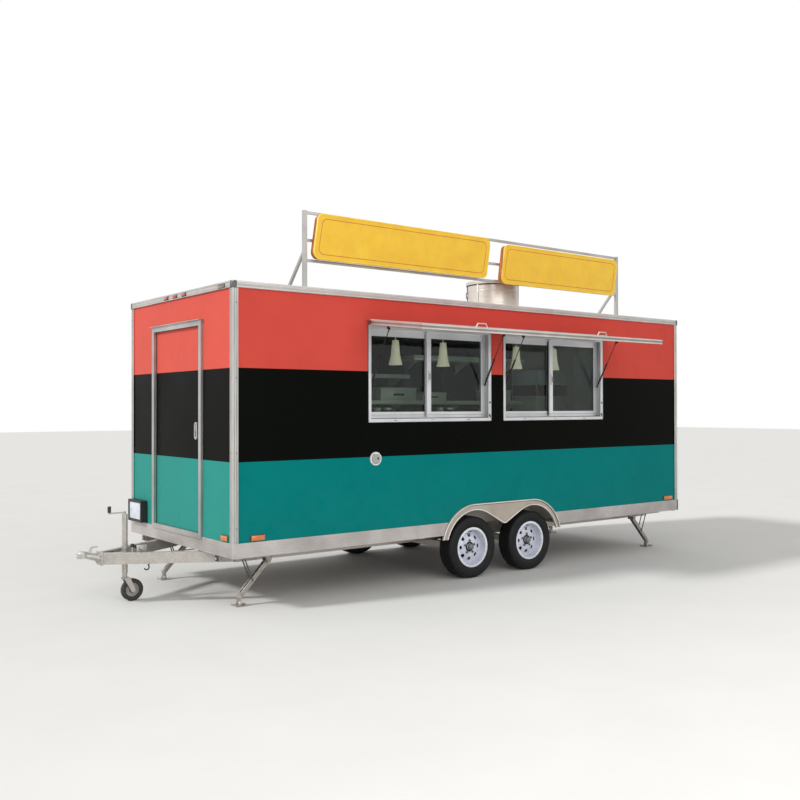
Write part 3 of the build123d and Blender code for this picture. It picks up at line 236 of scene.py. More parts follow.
def dusted(tree, place, top, amount, base):
    dust = maths(tree, "MULTIPLY", useGroup(tree, roadDust, Vector=place, Top=top)["Mask"], amount)
    return dust, mixed(tree, dust, base, dustColour)


def makeFinish(name, look):
    tone, shade, metallic, smooth, dull, pattern, bump, edge, dust = look
    material, tree, shader, place = newMaterial(name)
    if isinstance(pattern, tuple):
        marks = useGroup(tree, brushed, Vector=place, Stretch=pattern)
    else:
        marks = useGroup(tree, spangle if name in spangled else patina, Vector=place, Scale=pattern)
    edges = useGroup(tree, roundedEdges, Radius=edge / 1000)
    base = toned(tree, mapped(tree, marks["Broad"], 0.3, 0.7), tone, shade)
    worn = [min(1.0, 1.18 * v) for v in colour(*tone)]
    base = mixed(tree, maths(tree, "MULTIPLY", edges["Wear"], 0.5), base, worn)
    rough = mapped(tree, marks["Fine"], 0.25, 0.75, smooth, dull)
    if dust:
        mask, base = dusted(tree, place, 0.75, dust, base)
        rough = maths(tree, "ADD", rough, maths(tree, "MULTIPLY", mask, 0.3))
    setInputs(tree, shader, {"Base Color": base, "Roughness": rough, "Metallic": metallic,
                             "Normal": bumped(tree, marks["Fine"], bump, 0.0006, edges["Normal"])})
    if name in paintedGlows:
        setInputs(tree, shader, {"Emission Color": colour(*tone), "Emission Strength": paintedGlows[name]})
    return material


finish = {name: makeFinish(name, look) for name, look in finishes.items()}

# Body paint: teal below, black in the middle, red on top, and a pale lining on the inside. On the front end
# the teal and red are painted paler: painted sunlight.
paint = {"tealTop": 1.221, "blackTop": 1.986, "teal": (0, 112, 110), "black": (6, 8, 5), "red": (190, 70, 60),
         "tealFront": (40, 131, 122), "redFront": (196, 80, 68), "litFrontTo": 0.042,
         "lining": (196, 198, 196), "blend": 0.0015, "waveScale": 1.3, "dust": 0.04, "gloss": 0.03,
         "cloud": (0.95, 1.04)}


def stripes(tree, x, z):
    # the bands up the body. The front end's teal and red are paler, painted sunlight where the sun falls on
    # that end.
    paintedSunlit = maths(tree, "LESS_THAN", x, frontX + paint["litFrontTo"])
    teal, red = (toned(tree, paintedSunlit, paint[band + "Front"], paint[band]) for band in ("teal", "red"))
    tops = (paint["tealTop"], paint["blackTop"])
    first, second = (mapped(tree, z, top, top + paint["blend"]) for top in tops)
    return mixed(tree, second, mixed(tree, first, teal, colour(*paint["black"])), red)


def withinBody(tree, x, y, inset):
    # 1 along each axis where a point is further in than inset from the body's outer faces
    masks = []
    for along, middle, half in ((x, middleX, rearX - middleX), (y, middleY, farY - middleY)):
        fromMiddle = maths(tree, "ABSOLUTE", maths(tree, "SUBTRACT", along, middle))
        masks.append(maths(tree, "LESS_THAN", fromMiddle, half - inset))
    return masks


def makePaint(name, liningFrom, bare=None, metal=None):
    # liningFrom is how far in from the body's outer faces the lining begins, or 0 for none.
    # bare is a function of (tree, x, y) giving a mask of what the paint leaves bare, and metal is its look.
    material, tree, shader, place = newMaterial(name)
    x, y, z = split(tree, place)
    marks = useGroup(tree, patina, Vector=place, Scale=2.0)
    cloud = mapped(tree, marks["Broad"], 0.3, 0.7, *paint["cloud"])
    base = dusted(tree, place, 1.3, paint["dust"], vectors(tree, "MULTIPLY", stripes(tree, x, z), cloud))[1]
    if liningFrom:
        inside = maths(tree, "MULTIPLY", *withinBody(tree, x, y, liningFrom))
        base = mixed(tree, inside, base, colour(*paint["lining"]))
    edges = useGroup(tree, roundedEdges, Radius=0.002)
    normal = bumped(tree, marks["Fine"], 0.03, 0.0004, edges["Normal"])
    normal = bumped(tree, noise(tree, place, paint["waveScale"], 1.0), 0.05, 0.006, normal)
    rough = mapped(tree, marks["Broad"], 0.3, 0.7, 0.24, 0.36)
    if bare:
        tone, shade, metallic, smooth, dull, stretch = metal
        mask, streaks = bare(tree, x, y), useGroup(tree, brushed, Vector=place, Stretch=stretch)["Fine"]
        base = mixed(tree, mask, base, toned(tree, mapped(tree, streaks, 0.3, 0.7), tone, shade))
        rough = mapped(tree, mask, 0.0, 1.0, rough, mapped(tree, streaks, 0.25, 0.75, smooth, dull))
        setInputs(tree, shader, {"Metallic": maths(tree, "MULTIPLY", mask, metallic)})
    setInputs(tree, shader, {"Base Color": base, "Roughness": rough, "Normal": normal,
                             "Specular IOR Level": paint["gloss"]})
    return material


# Corner posts are bare at the corner, and painted with the walls where their flanges lie flat on them.
# The hatch's hinge is painted where its leaf lies on the wall.
bareLook = {"flange": 0.040, "leaf": 0.0055,
            "post": ((166, 165, 162), (140, 139, 137), 0.7, 0.34, 0.5, (40, 40, 3)),
            "hinge": ((206, 203, 199), (182, 179, 176), 0.75, 0.3, 0.46, (3, 60, 260))}


def barePost(tree, x, y):
    return maths(tree, "SUBTRACT", 1.0, maths(tree, "MAXIMUM", *withinBody(tree, x, y, bareLook["flange"])))


def bareHinge(tree, x, y):
    return maths(tree, "LESS_THAN", y, servingY - bareLook["leaf"])


finish["wallPaint"], finish["doorPaint"] = makePaint("wallPaint", 0.049), makePaint("doorPaint", 0.042)
finish["postFinish"] = makePaint("postFinish", 0, barePost, bareLook["post"])
finish["hingeFinish"] = makePaint("hingeFinish", 0, bareHinge, bareLook["hinge"])

# Window glass, slightly grey, with faint smears. Daylight goes straight through it to the inside.
glassLook = {"tint": (226, 234, 229), "smear": 0.03, "bend": 1.25}


def makeGlass():
    material, tree, shader, place = newMaterial("windowGlass")
    tint = colour(*glassLook["tint"])
    marks = useGroup(tree, patina, Vector=place, Scale=3.0)
    rough = mapped(tree, marks["Broad"], 0.4, 0.8, 0.0, glassLook["smear"])
    setInputs(tree, shader, {"Base Color": tint, "Roughness": rough, "IOR": glassLook["bend"],
                             "Transmission Weight": 1.0})
    clear = addNode(tree, "ShaderNodeBsdfTransparent", {"Color": tint}).outputs[0]
    rays = addNode(tree, "ShaderNodeLightPath", {}).outputs
    through = maths(tree, "MAXIMUM", rays["Is Shadow Ray"], rays["Is Diffuse Ray"])
    both = addNode(tree, "ShaderNodeMixShader", {0: through, 1: shader.outputs[0], 2: clear}).outputs[0]
    setInputs(tree, tree.nodes["Material Output"], {"Surface": both})
    return material


# Lamp lenses: moulded ribs, a little light going through
lensLooks = {"amberLens": ((218, 124, 54), (172, 84, 32)), "redLens": ((190, 44, 36), (140, 24, 20)),
             "markerLens": ((118, 100, 88), (88, 74, 64))}


def makeLens(name, look):
    material, tree, shader, place = newMaterial(name)
    ribs = addNode(tree, "ShaderNodeTexWave", {"Vector": place, "Scale": 60.0, "Distortion": 0.0},
                   bands_direction="DIAGONAL").outputs["Fac"]
    edges = useGroup(tree, roundedEdges, Radius=0.003)
    setInputs(tree, shader, {"Base Color": toned(tree, ribs, *look),
                             "Roughness": mapped(tree, ribs, 0.0, 1.0, 0.12, 0.22),
                             "Normal": bumped(tree, ribs, 0.25, 0.001, edges["Normal"]),
                             "Coat Weight": 0.6, "Coat Roughness": 0.06, "Subsurface Weight": 0.15})
    return material


# Materials that go by place on their piece: a mask is 1 between two distances and 0 outside them

def between(tree, value, low, high, soft=0.0006):
    rise = mapped(tree, value, low - soft, low + soft)
    return maths(tree, "MULTIPLY", rise, mapped(tree, value, high + soft, high - soft))


def dotted(tree, place, origin, axis):
    return vectors(tree, "DOT_PRODUCT", vectors(tree, "SUBTRACT", place, origin), axis)


def aroundAxle(tree, place, centre):
    # distance from a wheel's axle, which runs along Y
    flat = vectors(tree, "MULTIPLY", vectors(tree, "SUBTRACT", place, centre), (1, 0, 1))
    return vectors(tree, "LENGTH", flat)


def makeZoned(name, under, zones, gloss=0.5):
    # under is a row as for a finish, but with both a scale and a stretch. Each zone is a function of
    # (tree, place) giving a mask, and the look it puts on: tone, shade, metallic, least and most roughness.
    tone, shade, metallic, smooth, dull, scale, stretch, bump, edge, dust = under
    material, tree, shader, place = newMaterial(name)
    marks = useGroup(tree, patina, Vector=place, Scale=scale)
    streaks = useGroup(tree, brushed, Vector=place, Stretch=stretch)["Fine"]
    edges = useGroup(tree, roundedEdges, Radius=edge / 1000)
    grain = mapped(tree, marks["Broad"], 0.3, 0.7)
    base, rough = toned(tree, grain, tone, shade), mapped(tree, streaks, 0.25, 0.75, smooth, dull)
    for zone, (tone, shade, zoneMetallic, smooth, dull) in zones:
        mask = zone(tree, place)
        base = mixed(tree, mask, base, toned(tree, grain, tone, shade))
        rough = mapped(tree, mask, 0.0, 1.0, rough, mapped(tree, streaks, 0.25, 0.75, smooth, dull))
        metallic = mapped(tree, mask, 0.0, 1.0, metallic, zoneMetallic)
    if dust:
        base = dusted(tree, place, 0.75, dust, base)[1]
    setInputs(tree, shader, {"Base Color": base, "Roughness": rough, "Metallic": metallic,
                             "Normal": bumped(tree, streaks, bump, 0.0006, edges["Normal"]),
                             "Specular IOR Level": gloss})
    return material


# Hatch: its outer skin carries on the stripes, its edges are bare and the recess under it is lined. A grey
# band along the middle of its edges is painted shade of a groove.
# Its trim has a seal, ribs and bolts. Lengths are along the trailer, out from the hinge and down through it.
hatchSet = {"start": 1.318, "end": 4.508, "reach": 0.736, "hinge": (-0.058, 2.441), "droop": 6.7,
            "redTo": 0.455, "edge": 0.012, "paint": (-0.01, 0.0012), "recess": (0.0172, 0.1), "lined": 0.0455,
            "shadedGroove": (0.0142, 0.0308), "thick": 0.045, "skin": 0.018, "rim": 0.045, "seal": 0.0015,
            "sealEdge": (0.014, 0.024), "ribs": (1.391, 2.767, 3.048, 4.438), "handles": (1.986, 3.569)}
hatchLooks = {"under": ((208, 203, 198), (186, 180, 174), 0.6, 0.3, 0.44, 4.0, (3, 60, 260), 0.05, 2.0, 0.0),
              "red": ((190, 70, 60), (184, 66, 56), 0.0, 0.3, 0.42),
              "black": ((12, 14, 10), (9, 11, 8), 0.0, 0.3, 0.42),
              "lining": ((206, 204, 198), (190, 187, 181), 0.0, 0.4, 0.55),
              "shadedGroove": ((150, 146, 142), (126, 122, 118), 0.4, 0.4, 0.5)}


def hatchTurn():
    # X along the trailer, Y out along the open hatch from its hinge, Z down through its thickness
    y, z = hatchSet["hinge"]
    drooped = Matrix.Rotation(math.pi + math.radians(hatchSet["droop"]), 4, "X")
    return Matrix.Translation((frontX, servingY + y, z)) @ drooped


def makeHatchFinish():
    turn = hatchTurn()
    edge, reach, lined, redTo = (hatchSet[key] for key in ("edge", "reach", "lined", "redTo"))

    def zone(inset, near, end, levels):
        def mask(tree, place):
            across, along, level = (dotted(tree, place, turn.translation, axis.xyz) for axis in turn.col[:3])
            sides = between(tree, across, hatchSet["start"] + inset, hatchSet["end"] - inset)
            area = maths(tree, "MULTIPLY", sides, between(tree, along, near, end))
            return maths(tree, "MULTIPLY", area, between(tree, level, *levels, 0.0003))
        return mask

    return makeZoned("hatchFinish", hatchLooks["under"],
                     ((zone(-1.0, -1.0, 2.0, hatchSet["shadedGroove"]), hatchLooks["shadedGroove"]),
                      (zone(edge, edge, redTo, hatchSet["paint"]), hatchLooks["red"]),
                      (zone(edge, redTo, reach - edge, hatchSet["paint"]), hatchLooks["black"]),
                      (zone(lined, 0.008 + lined, reach - lined, hatchSet["recess"]), hatchLooks["lining"])),
                     paint["gloss"])


# Tyre rubber: rings round the sidewall, dusty in patches
tyreLook = {"tone": (14, 15, 18), "shade": (8, 9, 11), "dustColour": (74, 70, 64), "dust": 0.08,
            "rings": 420.0, "wall": (0.284, 0.278)}
# Wheels: white paint with a brighter bead lip. The recess round the cap and the sides of the disc's windows
# are near black, painted shade, and behind the disc it is near black too: the drums are dark, and the barrel's
# inside is painted shade.
rimLook = {"recess": (0.0290, 0.0474, 0.0580), "behind": 0.0862, "lip": (0.1670, 0.0150), "cap": 0.0284,
           "windows": (0.086, 0.140), "cone": (0.096, 0.421), "tunnel": 0.0618,
           "under": ((206, 210, 222), (188, 192, 204), 0.15, 0.24, 0.38, 10.0, (30, 30, 30), 0.04, 2.0, 0.1),
           "shadeAndDarkDrums": ((16, 16, 18), (8, 8, 10), 0.0, 0.6, 0.8),
           "lipLook": ((222, 225, 232), (208, 212, 220), 0.3, 0.2, 0.32),
           "capLook": ((150, 152, 155), (118, 120, 123), 0.8, 0.3, 0.45)}


def wheelFace(name):
    # the middle of a wheel's outer face, and the way it faces
    low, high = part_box("tyre_" + name)
    outward = Vector(serving if low.y + high.y < 2 * middleY else far)
    return Vector(((low.x + high.x) / 2, low.y if outward.y < 0 else high.y, (low.z + high.z) / 2)), outward


def makeTyreRubber(name):
    material, tree, shader, place = newMaterial("rubber_tyre_" + name)
    low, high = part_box("tyre_" + name)
    centre = (low + high) / 2
    radius = aroundAxle(tree, place, centre)
    rings = maths(tree, "SINE", maths(tree, "MULTIPLY", radius, tyreLook["rings"]))
    marks = useGroup(tree, patina, Vector=vectors(tree, "SUBTRACT", place, centre), Scale=12.0)
    base = toned(tree, marks["Broad"], tyreLook["tone"], tyreLook["shade"])
    dust = maths(tree, "MULTIPLY", mapped(tree, marks["Broad"], 0.45, 0.8), tyreLook["dust"])
    grain = addNode(tree, "ShaderNodeBump", {"Height": marks["Fine"], "Strength": 0.2, "Distance": 0.0006})
    height = maths(tree, "MULTIPLY", rings, mapped(tree, radius, *tyreLook["wall"]))
    setInputs(tree, shader, {"Base Color": mixed(tree, dust, base, colour(*tyreLook["dustColour"])),
                             "Roughness": mapped(tree, marks["Fine"], 0.2, 0.8, 0.55, 0.75),
                             "Normal": bumped(tree, height, 0.18, 0.0006, grain.outputs["Normal"]),
                             "Specular IOR Level": 0.3})
    return material


def makeRimFinish(name):
    centre, outward = wheelFace(name)

    def ring(inner, outer, start, end):
        def mask(tree, place):
            across = between(tree, aroundAxle(tree, place, centre), inner, outer)
            depth = between(tree, dotted(tree, place, centre, -outward), start, end)
            return maths(tree, "MULTIPLY", across, depth)
        return mask

    def windows(tree, place):
        # the disc slopes inward with the radius, and its windows' sides lie deeper than its own face
        radius, depth = aroundAxle(tree, place, centre), dotted(tree, place, centre, -outward)
        slope = maths(tree, "MAXIMUM", maths(tree, "SUBTRACT", radius, rimLook["cone"][0]), 0.0)
        below = maths(tree, "SUBTRACT", depth, maths(tree, "MULTIPLY", slope, rimLook["cone"][1]))
        # the windows' sides are painted near black: painted shade inside the holes
        return maths(tree, "MULTIPLY", between(tree, radius, *rimLook["windows"]),
                     between(tree, below, rimLook["tunnel"], 0.3))

    lipFrom, lipTo = rimLook["lip"]
    inner, outer, start = rimLook["recess"]
    return makeZoned("rim_" + name, rimLook["under"],
                     ((ring(lipFrom, 0.3, -0.1, lipTo), rimLook["lipLook"]),
                      (ring(-0.1, rimLook["cap"], -0.1, start), rimLook["capLook"]),
                      (ring(inner, outer, start, 0.3), rimLook["shadeAndDarkDrums"]), (windows, rimLook["shadeAndDarkDrums"]),
                      (ring(-0.1, 0.3, rimLook["behind"], 0.3), rimLook["shadeAndDarkDrums"])))


# Fenders: bare metal with bright lips, the plate toned beige, a painted reflection of brown ground. Jockey
# wheel: a black tyre on a grey hub.
# Sign boards: a blank yellow face, with darker returns behind it.
zonedLooks = {
    "fender": (((178, 166, 154), (160, 149, 138), 0.3, 0.34, 0.48, 5.0, (20, 20, 20), 0.04, 2.0, 0.3),
               ((226, 222, 217), (212, 207, 201), 0.4, 0.28, 0.4)),
    "jockey": (((34, 34, 35), (18, 18, 19), 0.0, 0.55, 0.75, 25.0, (60, 60, 60), 0.15, 3.0, 0.12),
               ((150, 148, 144), (112, 110, 107), 0.5, 0.4, 0.55)),
    "sign": (((188, 108, 42), (160, 86, 30), 0.0, 0.4, 0.55, 6.0, (8, 8, 8), 0.04, 3.0, 0.0),
             ((228, 186, 40), (218, 172, 32), 0.0, 0.3, 0.42))}
zoneSet = {"plate": 0.0146, "hub": 0.060, "face": 0.0068}


def fenderLip(tree, place):
    fromMiddle = maths(tree, "ABSOLUTE", dotted(tree, place, (0, middleY, 0), far))
    return between(tree, fromMiddle, farY - middleY + zoneSet["plate"], 9.0)


def jockeyHub(tree, place):
    low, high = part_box("jockey_wheel")
    return between(tree, aroundAxle(tree, place, (low + high) / 2), -0.1, zoneSet["hub"])


def signFace(tree, place):
    return between(tree, dotted(tree, place, (0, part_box("sign_boards")[0].y, 0), far), -0.1, zoneSet["face"])


finish["windowGlass"], finish["hatchFinish"] = makeGlass(), makeHatchFinish()
for piece, zone in (("fender", fenderLip), ("jockey", jockeyHub), ("sign", signFace)):
    under, look = zonedLooks[piece]
    finish[piece + "Finish"] = makeZoned(piece + "Finish", under, ((zone, look),))
for name, look in lensLooks.items():
    finish[name] = makeLens(name, look)

# Which carried-over nodes have each finish, and the families of nodes that share one
nodeFinishes = {
    "floorBoard": "floor", "roofWhite": "roof", "aluminiumLong": "roof_rail", "postFinish": "corner_posts",
    "skirtAluminium": "skirt", "castZinc": "coupling", "fenderFinish": "fenders",
    "galvanised": "chassis cross_members drawbar axles wheel_boxes jockey_mast jockey_stem jockey_fork",
    "windowAluminium": "window_casings window_sashes", "windowGlass": "window_glass",
    "hatchFinish": "hatch", "hingeFinish": "hatch_hinge", "ventSteel": "roof_vent",
    "blackSteel": "strut_barrels strut_brackets", "brightRod": "strut_rods", "doorPaint": "door",
    "aluminiumTrim": "door_frame door_latch sign_frame", "jockeyFinish": "jockey_wheel",
    "signFinish": "sign_boards", "amberLens": "amber_lamps", "redLens": "red_lamps",
    "blackPlastic": "plate_box", "whitePlastic": "inlet", "kitchenSteel": "counter cabinets",
    "creamShade": "pendants"}
finishOf = {name: finish[label] for label, names in nodeFinishes.items() for name in names.split()}
families = {"wall": "wallPaint", "brace": "darkScrew", "leg": "legZinc"}
for name, obj in nodes.items():
    family, _, rest = name.partition("_")
    if family in families:
        material = finish[families[family]]
    elif family in ("rim", "tyre"):
        material = makeRimFinish(rest) if family == "rim" else makeTyreRubber(rest)
    else:
        material = finishOf[name]
    obj.data.materials.clear()
    obj.data.materials.append(material)
print("materials made,", len(bpy.data.materials))


# Mesh helpers. Each part is made in a small bmesh of its own and then added to its piece's.

def addPart(bm, part, material=0, turn=None):
    for face in part.faces:
        face.material_index = material
    if turn is not None:
        bmesh.ops.transform(part, matrix=turn, verts=part.verts)
    scratch = bpy.data.meshes.new("scratch")
    part.to_mesh(scratch)
    part.free()
    bm.from_mesh(scratch)
    bpy.data.meshes.remove(scratch)


def bevelAll(part, edges, size):
    bmesh.ops.bevel(part, geom=edges, offset=size, offset_type="OFFSET", segments=2, profile=0.5,
                    affect="EDGES", material=-1)


def addBox(bm, low, high, bevel, material=0, turn=None):
    part = bmesh.new()
    bmesh.ops.create_cube(part, size=1.0)
    low, high = Vector(low), Vector(high)
    bmesh.ops.scale(part, vec=high - low, verts=part.verts)
    bmesh.ops.translate(part, vec=(low + high) / 2, verts=part.verts)
    bevelAll(part, part.edges[:], bevel)
    addPart(bm, part, material, turn)


def facing(origin, axis, up=upward):
    # a place whose Z points along axis and whose Y is as near to up as it can be
    along = Vector(axis).normalized()
    side = Vector(up).cross(along)
    if side.length < 0.001:
        side = Vector((1, 0, 0))
    side.normalize()
    turned = Matrix((side, along.cross(side), along)).transposed().to_4x4()
    return Matrix.Translation(Vector(origin)) @ turned


def addRod(bm, start, end, radius, sides=20, bevel=0.0, material=0):
    start, end = Vector(start), Vector(end)
    part = bmesh.new()
    bmesh.ops.create_cone(part, cap_ends=True, segments=sides, radius1=radius, radius2=radius,
                          depth=(end - start).length)
    if bevel:
        rims = [edge for edge in part.edges if abs(edge.verts[0].co.z - edge.verts[1].co.z) < 1e-6]
        bevelAll(part, rims, bevel)
    addPart(bm, part, material, facing((start + end) / 2, end - start))


def spun(profile, steps, closed=False):
    # profile points are (radius, distance along the axis)
    part = bmesh.new()
    verts = [part.verts.new((radius, 0, along)) for radius, along in profile]
    edges = [part.edges.new(pair) for pair in zip(verts, verts[1:])]
    if closed:
        edges.append(part.edges.new((verts[-1], verts[0])))
    bmesh.ops.spin(part, geom=verts + edges, cent=(0, 0, 0), axis=upward, angle=2 * math.pi, steps=steps,
                   use_merge=True)
    bmesh.ops.remove_doubles(part, verts=part.verts, dist=1e-6)
    bmesh.ops.recalc_face_normals(part, faces=part.faces)
    return part


def addTurned(bm, profile, origin, axis, steps=32, material=0, closed=False):
    addPart(bm, spun(profile, steps, closed), material, facing(origin, axis))


def addPlate(bm, outline, depth, turn, bevel, material=0):
    # outline is in the plate's own plane, and it grows by depth along its own Z
    part = bmesh.new()
    face = part.faces.new([part.verts.new((x, y, 0)) for x, y in outline])
    made = bmesh.ops.extrude_face_region(part, geom=[face])
    moved = [item for item in made["geom"] if isinstance(item, bmesh.types.BMVert)]
    bmesh.ops.translate(part, vec=(0, 0, depth), verts=moved)
    bmesh.ops.recalc_face_normals(part, faces=part.faces)
    bevelAll(part, part.edges[:], bevel)
    addPart(bm, part, material, turn)


def addBent(bm, points, radius, sides, material=0):
    # a round bar through the points, one ring of vertices at each
    part = bmesh.new()
    points = [Vector(point) for point in points]
    rings, last = [], len(points) - 1
    for count, point in enumerate(points):
        along = points[min(count + 1, last)] - points[max(count - 1, 0)]
        ring = bmesh.ops.create_circle(part, cap_ends=count in (0, last), segments=sides, radius=radius,
                                       matrix=facing(point, along, (0.31, 0.17, 0.9)))["verts"]
        rings.append([edge for edge in part.edges if edge.verts[0] in ring and edge.verts[1] in ring])
    for first, second in zip(rings, rings[1:]):
        bmesh.ops.bridge_loops(part, edges=first + second)
    bmesh.ops.recalc_face_normals(part, faces=part.faces)
    addPart(bm, part, material)


def addBolt(bm, place, axis, radius, height):
    # a hexagon head on a washer
    place, axis = Vector(place), Vector(axis)
    addRod(bm, place, place + axis * height * 0.25, radius * 1.35, 20, height * 0.05)
    addRod(bm, place + axis * height * 0.2, place + axis * height, radius, 6, height * 0.1)


def addScrew(bm, place, axis, radius, material=0):
    # a low domed head with a turned-in rim
    profile = ((1, 0), (1, 0.18), (0.8, 0.42), (0.45, 0.55), (0.3, 0.42), (0, 0.4))
    addTurned(bm, [(radius * out, radius * along) for out, along in profile], place, axis, 12, material)


def addObject(name, data):
    made = bpy.data.objects.new(name, data)
    bpy.context.scene.collection.objects.link(made)
    return made


def newPiece(name, bm, materials, body="trailer", replaces=None, smooth=32.0):
    bmesh.ops.recalc_face_normals(bm, faces=bm.faces)
    mesh = bpy.data.meshes.new(name)
    bm.to_mesh(mesh)
    bm.free()
    for material in materials:
        mesh.materials.append(finish[material] if isinstance(material, str) else material)
    mesh.shade_smooth()
    mesh.set_sharp_from_angle(angle=math.radians(smooth))
    piece = addObject(name, mesh)
    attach(piece, body)
    if replaces:
        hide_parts(replaces)


def spread(start, end, pitch):
    # even places from start to end, about pitch apart
    count = max(1, round(abs(end - start) / pitch))
    return [start + (end - start) * index / count for index in range(count + 1)]


def onCircle(radius, degrees):
    # an arm in the XZ plane
    angle = math.radians(degrees)
    return radius * Vector((math.cos(angle), 0, math.sin(angle)))


# Tyres. Points are (radius, distance in from the wheel's outer face). The far half is the near one turned.
tyreShape = {
    "steps": 96, "blocks": 72, "width": 0.177, "gap": 0.0016, "depth": 0.0052,
    "side": ((0.1785, 0.018), (0.190, 0.0165), (0.1965, 0.0125), (0.2005, 0.0122), (0.2035, 0.0105),
             (0.2125, 0.0058), (0.2155, 0.0052), (0.2175, 0.0040), (0.2350, 0.0010), (0.2500, 0.0002),
             (0.2620, 0.0016), (0.2640, 0.0030), (0.2660, 0.0024), (0.2745, 0.0046), (0.2780, 0.0056),
             (0.2800, 0.0074), (0.2860, 0.0100), (0.2905, 0.0150), (0.2938, 0.0240), (0.2942, 0.0400),
             (0.2942, 0.0885)),
    "ribs": (((0.2880, 0.0130), (0.2932, 0.0215), (0.2943, 0.0410)), ((0.2943, 0.0470), (0.2943, 0.0740)),
             ((0.2943, 0.0800), (0.2943, 0.0970)))}


def makeTyre(name):
    centre, outward = wheelFace(name)
    near, ribs, gap, depth = (tyreShape[key] for key in ("side", "ribs", "gap", "depth"))

    def turned(profile):
        return tuple((radius, tyreShape["width"] - across) for radius, across in reversed(profile))

    bm = bmesh.new()
    addTurned(bm, near + turned(near[:-1]), centre, -outward, tyreShape["steps"])
    for count, rib in enumerate((*ribs, *[turned(rib) for rib in ribs[:2]])):
        part = spun(rib, tyreShape["blocks"])
        if part.faces[0].normal.dot(part.faces[0].calc_center_median() * Vector((1, 1, 0))) < 0:
            bmesh.ops.reverse_faces(part, faces=part.faces)
        bmesh.ops.inset_individual(part, faces=part.faces, thickness=gap, depth=depth)
        half = Matrix.Rotation(math.pi / tyreShape["blocks"] * (count % 2), 4, "Z")
        addPart(bm, part, 0, facing(centre, -outward) @ half)
    rubber = nodes["tyre_" + name].data.materials[0]
    newPiece("tread_" + name, bm, [rubber], "wheel_" + name, "tyre_" + name, 28.0)


# Wheel nuts, dust cap and valve. In is the distance in from the wheel's outer face.
nutSet = {"count": 5, "circle": 0.0625, "seatIn": 0.0582, "radius": 0.0092, "height": 0.015,
          "cap": ((0.0284, 0.030), (0.0284, -0.012), (0.0296, -0.0135), (0.0296, -0.0165), (0.0284, -0.018),
                  (0.0278, -0.0325), (0.0180, -0.0370), (0.0, -0.0378)),
          "ring": ((0.0470, 0.002), (0.0470, -0.0012), (0.0500, -0.0022), (0.0515, 0.0008)),
          "valve": 0.150, "valveIn": (0.058, 0.030)}


def makeWheelNuts(name):
    centre, outward = wheelFace(name)
    seat = centre - outward * nutSet["seatIn"]
    bm = bmesh.new()
    for count in range(nutSet["count"]):
        spot = seat + onCircle(nutSet["circle"], 90 + 360 / nutSet["count"] * count)
        addBolt(bm, spot, outward, nutSet["radius"], nutSet["height"])
        addRod(bm, spot, spot + outward * (nutSet["height"] + 0.005), nutSet["radius"] * 0.55, 12, 0.001)
    for profile in (nutSet["cap"], nutSet["ring"]):
        addTurned(bm, profile, seat, -outward, 40)
    near, out = nutSet["valveIn"]
    stem = centre + Vector((0, 0, nutSet["valve"]))
    addRod(bm, stem - outward * near, stem - outward * (out + 0.008), 0.0055, 14, 0.001, 1)
    addRod(bm, stem - outward * (out + 0.009), stem - outward * out, 0.0045, 14, 0.001, 1)
    newPiece("nuts_" + name, bm, ["darkZinc", "blackPlastic"], "wheel_" + name)


for name in cornerNames:
    makeTyre(name)
for name in cornerNames:
    makeWheelNuts(name)
print("tyres and wheel nuts made")

# Windows: rubber round each pane, screws in the outer flange, tracks, bumpers and a pull.
# The jambs' tracks are (near, far, proud, material), with near and far in from the wall's face.
windowSet = {"spans": ((1.335, 2.823), (2.992, 4.494)), "low": 1.531, "high": 2.405, "flange": 0.030,
             "sash": 0.052, "sill": 0.062, "overlap": 0.055, "outerTrack": 0.052, "sashDepth": 0.026,
             "rubber": 0.006, "screwPitch": 0.36, "proud": 0.006, "tracks": (0.049, 0.0775, 0.1035),
             "jambs": ((0.004, 0.009, 0.004, 0), (0.012, 0.019, 0.0015, 1), (0.022, 0.026, 0.006, 0),
                       (0.028, 0.038, 0.0015, 1), (0.041, 0.045, 0.007, 0)), "bumper": 1.712}


def windowPanes(span):
    # (start, end, distance in of the sash's outer face) for the fixed and the sliding pane
    a0, a1 = span[0] + windowSet["flange"], span[1] - windowSet["flange"]
    middle, half = (a0 + a1) / 2, windowSet["overlap"] / 2
    return ((a0, middle + half, windowSet["outerTrack"] + windowSet["sashDepth"]),
            (middle - half, a1, windowSet["outerTrack"]))


def border(x0, x1, z0, z1, wide):
    # the four strips along the inside of a rectangle's edge
    return (((x0, z0), (x1, z0 + wide)), ((x0, z1 - wide), (x1, z1)),
            ((x0, z0), (x0 + wide, z1)), ((x1 - wide, z0), (x1, z1)))


def addStrips(bm, strips, y0, y1, bevel, material=0):
    for (x0, z0), (x1, z1) in strips:
        addBox(bm, (x0, y0, z0), (x1, y1, z1), bevel, material)


def makeWindowRubber():
    bm = bmesh.new()
    inset = windowSet["flange"] + windowSet["sill"]
    for span in windowSet["spans"]:
        for start, end, inside in windowPanes(span):
            x0, x1 = frontX + start + windowSet["sash"], frontX + end - windowSet["sash"]
            strips = border(x0, x1, windowSet["low"] + inset, windowSet["high"] - inset, windowSet["rubber"])
            addStrips(bm, strips, servingY + inside + 0.004, servingY + inside + 0.010, 0.0015)
    newPiece("window_rubber", bm, ["blackRubber"])


